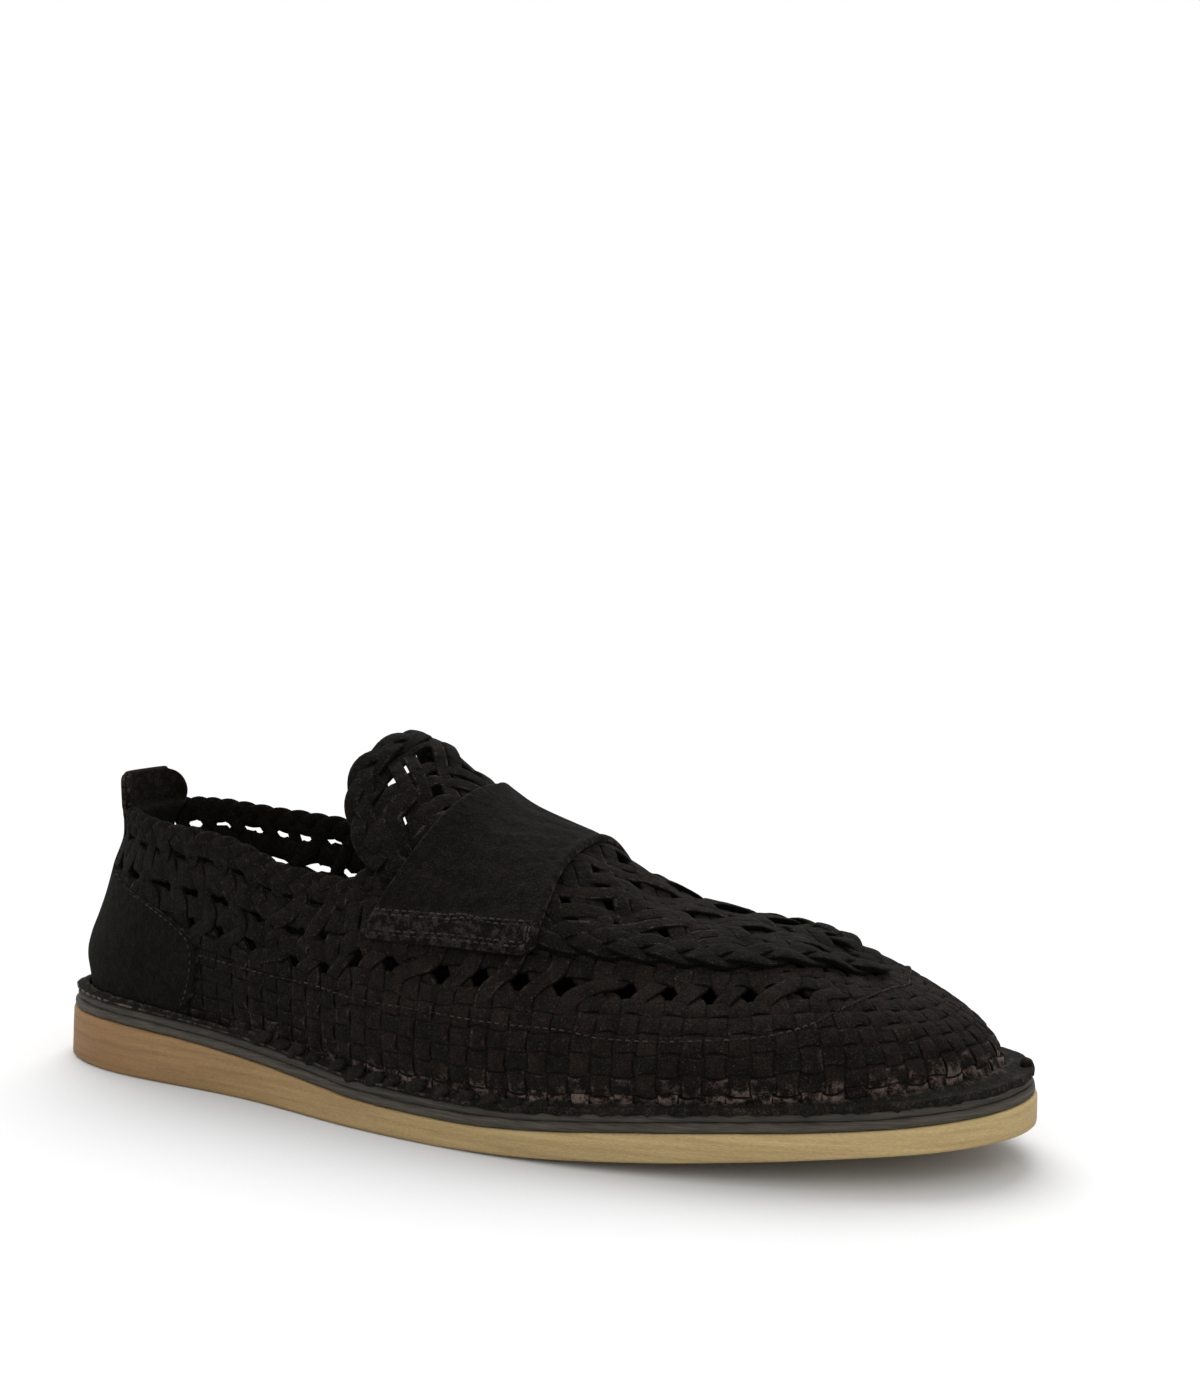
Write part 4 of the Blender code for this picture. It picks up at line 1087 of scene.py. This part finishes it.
def strap_face(share, t, thick):
    """The strap's face with the hem's step, the turned rim and a few soft creases."""
    rear, front = strap_edges(share)
    ahead = (1 - t) * (front - rear)
    left = strap_gaps(share, t)[0]
    sewn = sewn_line(rear + (front - rear) * t)
    hem = HEM_STEP * eased(left, sewn + 2.0, sewn + 0.8)
    rim = RIM[0] * hump(ahead, *RIM[1:]) - GROOVE[0] * hump(ahead, *GROOVE[1:])
    creases = np.sin(share * 46.0 + 5.0 * np.sin(t * 4.0)) * eased(t, 0.0, 0.2) * eased(t, 1.0, 0.8)
    dents = hump(left, sewn - 0.1, DENT_WIDTH) + hump(left, 1.95, DENT_WIDTH)
    relief = hem + rim + CREASE * creases - DENT * dents
    return strap_spot(share, t, thick + (thick > 0) * relief)


rows, columns = ends_dense(-1.0, 1.0, 110, 0.009), ends_dense(0.0, 1.0, 34, 0.011)
points, faces, gap = leather_sheet(
    strap_face, rows, columns, STRAP_THICK, STRAP_ROUND, lambda a, b: np.minimum(*strap_gaps(a, b))
)
share, t = np.meshgrid(rows, columns, indexing="ij")
rear, front = strap_edges(share)
sewn = sewn_line(rear + (front - rear) * t)
hem_wear = 0.2 * eased(strap_gaps(share, t)[0], sewn + 1.6, sewn + 0.8)
wear_and_light = np.r_[np.maximum(np.exp(-gap / 0.5) * 0.35, hem_wear).ravel(), np.zeros(gap.size)]
brushed = suede("brushed suede", (0.0049, 0.0043, 0.0038), (0.045, 0.037, 0.031), 0.8)
piece("strap", points, faces, brushed, "strap", np.full(len(points), 0.4), wear_and_light)
# Shape of one stitch: place along it as a share of its length, height.
STITCH_PLACES = np.array([-0.5, -0.3, 0.0, 0.3, 0.5])
STITCH_RISE = np.array([-0.28, 0.1, 0.2, 0.1, -0.28])


def stitch_row(bundle, spots, normals, length, thick):
    """Single stitches, each a short raised bar of thread sunk at both ends."""
    for spot, way, normal in zip(spots, unit(np.gradient(spots, axis=0)), normals):
        path = spot + way * (STITCH_PLACES * length)[:, None] + normal * STITCH_RISE[:, None]
        bundle.add(*strip(path, np.repeat(normal[None], len(path), 0), thick, thick * 0.8))


def along_path(points, pitch, start=0.0):
    """Evenly spaced places along a line of points."""
    lengths = lengths_along(points)
    return on_line(points, lengths, np.arange(start, lengths[-1], pitch))


STRAP_SIZE = (57.0, 53.0)  # about the length of a side and of the lower edge, for spacing stitches
STRAP_FRONT, HEM_BACK, HEM_STITCH = 174.6, 48.5, 2.2  # front station, length sewn, stitch to stitch
HEM_ROWS = (1.4, 2.5)  # each row's distance from the lower edge, and from the sewn line


def strap_places(side, left, ahead):
    """Share and part of the way forward for distances from the lower edge and the front edge."""
    share = 1.0 - left / STRAP_SIZE[0]
    for again in range(3):
        rear, front = strap_edges(share)
        share = 1.0 - left / strap_drop(side, front - ahead)
    return np.column_stack([side * share, 1.0 - ahead / (front - rear)])


strap_thread = Bundle()
for side in (-1.0, 1.0):
    for row, away in enumerate(HEM_ROWS):
        ahead = np.linspace(HEM_BACK, away + 0.5, 60)
        low = strap_places(side, np.full(60, away), ahead)
        sewn = sewn_line(STRAP_FRONT - ahead) + 2.3
        high = strap_places(side, sewn - away, ahead)
        front = strap_places(side, np.linspace(away, sewn[-1] - away, 20), np.full(20, away + 0.5))
        for line in (low, high, front):
            places = along_path(line * STRAP_SIZE, HEM_STITCH, HEM_STITCH / 2 * row) / STRAP_SIZE
            spot, normal = strap_face(places[:, 0], places[:, 1], np.full(len(places), 1.35))
            stitch_row(strap_thread, spot, normal, 1.3, 0.5)
thread, nodes, links, shader = node_material("sewing thread", (0.024, 0.02, 0.018), 0.85)
shader.inputs["Specular IOR Level"].default_value = 0.05
own = add(nodes, "ShaderNodeAttribute", attribute_name="shade")
tone = blend_colours(nodes, links, own.outputs["Fac"], (0.0118, 0.0102, 0.009), (0.0365, 0.0315, 0.0275))
links.new(tone, shader.inputs["Base Color"])
strap_thread.make("strap_stitches", thread)

# ------------------------------------------------------------------ heel counter
# One piece of brushed suede makes the counter at the heel's base, the narrow backstay and the
# pull tab, which is folded over the collar and sewn down inside.

# Half width of the piece: length up the wall, half width.
COUNTER_SHAPE = (
    (0.3, 62.6),
    (5.0, 65.3),
    (12.0, 68.3),
    (19.0, 69.6),
    (24.0, 68.2),
    (27.0, 63.0),
    (31.0, 51.0),
    (34.0, 36.0),
    (37.0, 23.0),
    (41.0, 14.5),
    (47.0, 12.0),
    (54.0, 14.0),
    (58.0, 18.6),
    (62.0, 19.4),
    (69.0, 19.4),
)
TAB_TOP, TAB_ROUND, TAB_START = 68.2, 8.0, 58.0  # top, radius of its corners, where the tab begins
TAB_COLLAR = float(TOP[0]) + 0.4  # the collar's edge at the heel


def counter_half(height):
    """Half width at a length up the wall, with the tab's rounded corners."""
    half = from_table(COUNTER_SHAPE, height)
    corner = np.clip((height - (TAB_TOP - TAB_ROUND)) / TAB_ROUND, 0.0, 1.0)
    return half - TAB_ROUND * (1.0 - np.sqrt(1.0 - np.minimum(corner, 0.999) ** 2))


# Path of the counter's face: up the outside, over the tab's top, down inside the collar.
upward = np.r_[0.3, 0.7, 1.3, np.linspace(2.5, 62.0, 70), np.linspace(62.8, TAB_TOP - 0.4, 12)]
fold = np.linspace(0.0, math.pi, 9)[1:-1]
downward = np.r_[np.linspace(TAB_TOP - 0.4, 62.8, 12), np.linspace(62.0, TAB_COLLAR - 9.0, 14)]
downward = np.r_[downward, TAB_COLLAR - 9.4, TAB_COLLAR - 9.6]
face_height = np.r_[upward, np.full(len(fold), TAB_TOP), downward]
part = np.r_[np.zeros(len(upward)), fold / math.pi, np.ones(len(downward))]


def counter_height(row):
    """Length up the wall at a row of the path."""
    return np.interp(row, np.arange(len(face_height)), face_height)


def counter_spot(row, w, thick):
    """A place on the counter: row counts along its path, w goes from side to side."""
    height = counter_height(row)
    fold_turn = math.pi * np.interp(row, np.arange(len(part)), part)
    above = eased(height, TAB_COLLAR - 3.4, TAB_COLLAR - 1.2)
    outer, inner = 2.45 + 0.3 * above + thick, -0.45 + 3.1 * above - thick
    lift = (outer + inner) / 2 + (outer - inner) / 2 * np.cos(fold_turn)
    tall = height + 0.6 * np.sin(fold_turn) * (thick + 0.3)
    return on_last(w * counter_half(height), tall, lift)


def counter_gaps(row, w):
    """Length from each place on the counter to its side edge."""
    return (1 - np.abs(w)) * counter_half(counter_height(row))


rows = np.arange(len(face_height), dtype=float)
columns = ends_dense(-1.0, 1.0, 72, 0.012)
points, faces, gap = leather_sheet(counter_spot, rows, columns, 1.35, 1.0, counter_gaps)
# painted light and shade on one piece of suede: the tab gets a paler, browner colour and pale patches, as
# light falling on it, and the counter below a darker, greener one, as shade low at the heel
tab_painted_light = np.repeat(0.12 * eased(face_height, TAB_START, TAB_START + 3.0), len(columns))
wear_and_light = np.r_[np.maximum(np.exp(-gap.ravel() / 0.45) * 0.4, tab_painted_light), np.zeros(gap.size)]
shade = np.tile(np.repeat(0.1 + 0.9 * eased(face_height, TAB_START, TAB_START + 6.0), len(columns)), 2)
piece("heel_counter", points, faces, brushed, "heel_counter", shade, wear_and_light)
counter_thread = Bundle()
SEAM_INSET, COUNTER_STITCH = 2.4, 2.3  # the seam's distance from the edge, stitch to stitch
heights = np.linspace(5.0, 33.0, 90)
seam = from_table(COUNTER_SHAPE, heights) - SEAM_INSET
for side in (-1.0, 1.0):
    places = along_path(np.column_stack([side * seam, heights]), COUNTER_STITCH)
    spot, normal = on_last(places[:, 0], places[:, 1], 3.75)
    stitch_row(counter_thread, spot, normal, 1.2, 0.35)
counter_thread.make("counter_stitches", thread)

# ------------------------------------------------------------------ rand
# A raw leather flange lying on the midsole, thick against the wall's foot and thin at the cut
# edge, which hangs a little over the midsole's at the front. Along the waist a thong whips it down
# in short fat loops that lie almost flat on it.
RAND_HEIGHT, RAND_EDGE, RAND_INSET = 2.6, 0.9, 0.9  # height at the wall, at the edge, setback from the sole's
RAND_POINTS = 1600
RAND_WAVES = ((0.1, 41, 2.2), (0.16, 61, 0.3), (0.14, 97, 1.7), (0.1, 211, 4.0))
# Rings from the wall to the edge: share of the way, rise, how ragged, how far it hangs at the front.
RAND_RINGS = (
    (0.0, 0.0, 0.0, 0.0),
    (0.18, 0.12, 0.5, 0.0),
    (0.4, -0.3, 1.0, 0.0),
    (0.62, -0.55, 0.8, 0.0),
    (0.85, -0.35, 0.5, 0.0),
    (0.97, -0.1, 0.3, 0.0),
    (1.0, -0.5, 0.0, 0.25),
    (0.98, -0.86, 0.0, 0.9),
)
# paler on the flange's top against the wall and on its cut edge; along the cut edge this is partly wear and
# partly a painted highlight
RAND_WEAR_AND_LIGHT = (0.36, 0.27, 0.08, 0.04, 0.1, 0.26, 0.33, 0.1, 0.0)  # of each ring and the wall's foot
points_round = np.arange(RAND_POINTS)
run = points_round / RAND_POINTS * FOOT_RUN
spread = np.linalg.norm(FOOT_RING[:, None] - SOLE_RING[None], axis=2).min(axis=1)
reach = inset(FOOT_RING, RAND_INSET - spread)
at = points_round * len(reach) / RAND_POINTS
reach = on_line(np.vstack([reach, reach[:1]]), np.arange(len(reach) + 1), at)
from_heel = np.minimum(run, FOOT_RUN - run)
over_counter = 2.4 * eased(from_heel, 87.0, 79.0)
front = eased(from_heel, 150.0, 190.0)
turn = 2 * math.pi * points_round / RAND_POINTS
ragged = sum(a * np.sin(turn * n + p) for a, n, p in RAND_WAVES)
knots = rng.normal(0.0, 0.13, RAND_POINTS // 3 + 1)
ragged = ragged + np.interp(points_round, np.arange(0, RAND_POINTS + 1, 3), knots)
wall_low, wall_high = (on_last(run, h, 2.35 + over_counter)[0] for h in (0.12, RAND_HEIGHT))
wall_high[:, 2] += 0.5 * ragged
edge = inset(reach, -0.35 * ragged)
rings = []
for share, rise, rough, hang in RAND_RINGS:
    base = wall_high[:, :2] * (1 - share) + edge * share
    height = sole_top(base[:, 0]) + 0.3
    edge_height = RAND_EDGE + 0.4 * front * (hang < 0.5)  # thicker at the front, but for the last ring
    top = (wall_high[:, 2] - height) * (1 - share) + edge_height * share + rise
    top = top + rough * 0.45 * np.roll(ragged, 53 * len(rings))
    droop = hang * front * (1.0 + ragged)
    rings.append(np.column_stack([base, height + np.maximum(top, 0.02) - droop]))
rings.append(wall_low)
points = np.stack(rings, axis=1).reshape(-1, 3)
faces = grid_faces(RAND_POINTS, len(rings), wrap_rows=True, wrap_columns=True)
wear_and_light = np.tile(RAND_WEAR_AND_LIGHT, (RAND_POINTS, 1))
# painted highlight with some wear: the cut edge is paler still round the heel, and less pale at the front
wear_and_light[:, 5:7] *= 1.0 - 0.6 * front[:, None]
wear_and_light[:, 5:7] += 0.7 * eased(from_heel[:, None], 52.0, 40.0)
raw = suede("rand leather", (0.0088, 0.0084, 0.0072), (0.08, 0.066, 0.055), 0.7)
piece("rand", points, faces, raw, "rand", np.full(len(points), 0.5), wear_and_light.ravel())
thong = Bundle()
LOOP_REACH, LOOP_WIDE, LOOP_THICK = 2.9, (0.5, 3.2), (0.4, 2.3)  # half length; size at the ends, gain
THONG_PITCH, THONG_FROM, THONG_TO = 7.5, 82.0, 189.0  # loop to loop, stations of its ends
for k in range(int(FOOT_RUN / THONG_PITCH)):
    home = (k + 0.5) * THONG_PITCH + rng.uniform(-1.5, 1.5)
    station = round_foot(FEET, np.array([home]))[0, 0]
    if not THONG_FROM <= station <= THONG_TO:
        continue
    side = 1.0 if home < FOOT_RUN / 2 else -1.0
    size = rng.uniform(0.78, 1.22)
    share = np.linspace(-1.0, 1.0, 15)
    swell = np.sqrt(np.maximum(1.0 - share**2, 0.0))
    at = home + side * share * LOOP_REACH * size
    up = 2.3 + rng.uniform(-0.5, 0.4) + share * rng.uniform(0.2, 1.9)
    spot, normal = on_last(at, up, 4.1 - 0.5 * share)
    normal = normal * 0.7 + (0.0, 0.0, 0.8)
    width = size * (LOOP_WIDE[0] + LOOP_WIDE[1] * swell)
    thick = LOOP_THICK[0] + LOOP_THICK[1] * swell
    sunk = spot - normal * 0.5 * (1 - swell)[:, None]
    thong.add(*strip(sunk, normal, width, thick, dome=0.5))
# the thong's knot at the very toe
share = np.linspace(-1.0, 1.0, 11)
swell = np.sqrt(np.maximum(1.0 - share**2, 0.0))
KNOT = (296.0, 10.0, float(sole_top(296.0)) + 1.9)
knot = np.array(KNOT) + share[:, None] * (0.6, 1.9, 0.0)
outward = np.tile((0.3, 0.0, 1.0), (len(share), 1))
thong.add(*strip(knot, outward, 0.4 + 2.6 * swell, 0.4 + 2.2 * swell, dome=0.4))
thong.make("rand_thong", raw)

# ------------------------------------------------------------------ insole
# A thin footbed of dark leather that lies inside the wall, on the midsole. It is cut to the
# wall's foot, and its edge is softly rounded.
material, nodes, links, shader = node_material("footbed leather", (0.045, 0.035, 0.027), 0.55)
pores = stretched_noise(nodes, links, (1.0, 1.0, 1.0), 320.0, 6.0)
tone = colour_ramp(nodes, links, pores, ((0.3, (0.03, 0.023, 0.018)), (0.7, (0.06, 0.047, 0.036))))
links.new(tone, shader.inputs["Base Color"])
roughen(nodes, links, shader, pores, 0.3, 0.0005)
bed = inset(FOOT_RING, 1.3)
points, faces = slab(
    (
        (bed, lambda s: sole_top(s) + 0.35),
        (bed, lambda s: sole_top(s) + 2.2),
        (inset(bed, 0.25), lambda s: sole_top(s) + 2.6),
        (inset(bed, 0.9), lambda s: sole_top(s) + 2.75),
    ),
    480,
)
piece("footbed", points, faces, material, "insole")

# ------------------------------------------------------------------ vamp stitches
# One row of small pale stitches, sewn along the strips and rising round the toe, holds the weave
# together over the whole front.

# Length of the stitch line up the wall: station, length.
STITCH_LINE = (
    (60.0, 20.6),
    (89.0, 21.0),
    (107.0, 22.3),
    (137.0, 22.3),
    (178.0, 21.0),
    (188.0, 20.0),
    (199.0, 17.9),
    (216.0, 16.9),
    (234.0, 17.1),
    (245.0, 18.4),
    (252.0, 20.2),
    (258.0, 22.6),
    (267.0, 26.3),
    (275.0, 29.1),
    (289.0, 34.0),
)
VAMP_STITCH, MISSING, STITCHED = 2.3, 0.03, (62.0, 286.0)  # spacing, share lost, stations
vamp_thread = Bundle()
run = np.linspace(0.0, FOOT_RUN, 900, endpoint=False)
station = round_foot(FEET, run)[:, 0]
line = np.column_stack([run, from_table(STITCH_LINE, station)])
places = along_path(line[(station > STITCHED[0]) & (station < STITCHED[1])], VAMP_STITCH)
places = places[rng.random(len(places)) > MISSING]
spot, normal = on_last(places[:, 0], places[:, 1], 2.86 + rng.normal(0.0, 0.06, len(places)))
stitch_row(vamp_thread, spot, normal, 1.0, 0.42)
vamp_thread.make("vamp_stitches", thread)

# ------------------------------------------------------------------ floor, light and camera
# A pale studio floor that runs off into a pale room, with one broad soft light overhead and a
# weaker one from the front, and the camera low at the outer side.
FLOOR_REACH = 60
LAMPS = (
    ("sky_panel", "SUN", (-0.6, 1.0, 1.7), 2.9, math.radians(50.0)),
    ("front_light", "AREA", (0.55, -1.2, 0.9), 6.0, 0.9),
)
LIT_SPOT = Vector((0.0, 0.0, 0.03))
CAMERA_SPOT, LENS, SENSOR = (0.2526, -0.4873, 0.1607), 49.6, 36.0
YAW, PITCH, ROLL = math.radians(24.90), math.radians(4.38), math.radians(0.69)
floor_mesh = bpy.data.meshes.new("studio_floor")
corners = [(x * FLOOR_REACH, y * FLOOR_REACH, 0) for x, y in ((-1, -1), (1, -1), (1, 1), (-1, 1))]
floor_mesh.from_pydata(corners, [], [(0, 1, 2, 3)])
floor = bpy.data.objects.new("studio_floor", floor_mesh)
bpy.context.scene.collection.objects.link(floor)
material, nodes, links, shader = node_material("pale floor", (0.58, 0.58, 0.58), 1.0)
shader.inputs["Specular IOR Level"].default_value = 0.0
floor_mesh.materials.append(material)
world = bpy.data.worlds.new("studio")
world.use_nodes = True
world.node_tree.nodes["Background"].inputs["Color"].default_value = (1.0, 1.0, 1.0, 1.0)
world.node_tree.nodes["Background"].inputs["Strength"].default_value = 1.0
bpy.context.scene.world = world
bpy.context.scene.view_settings.view_transform = "Standard"
for name, kind, spot, strength, size in LAMPS:
    lamp = bpy.data.lights.new(name, kind)
    lamp.energy = strength
    if kind == "SUN":
        lamp.angle = size
    else:
        lamp.size = size
    holder = bpy.data.objects.new(name, lamp)
    holder.location = spot
    holder.rotation_mode = "QUATERNION"
    holder.rotation_quaternion = (LIT_SPOT - Vector(spot)).to_track_quat("-Z", "Y")
    bpy.context.scene.collection.objects.link(holder)
camera = bpy.data.objects.new("camera", bpy.data.cameras.new("camera"))
camera.data.lens, camera.data.sensor_width = LENS, SENSOR
back = Vector((math.sin(YAW) * math.cos(PITCH), -math.cos(YAW) * math.cos(PITCH), math.sin(PITCH)))
level = Vector((math.cos(YAW), math.sin(YAW), 0.0))
upright = back.cross(level)
right = math.cos(ROLL) * level + math.sin(ROLL) * upright
up = math.cos(ROLL) * upright - math.sin(ROLL) * level
turn = Matrix((right, up, back)).transposed().to_4x4()
camera.matrix_world = Matrix.Translation(CAMERA_SPOT) @ turn
bpy.context.scene.collection.objects.link(camera)
bpy.context.scene.camera = camera
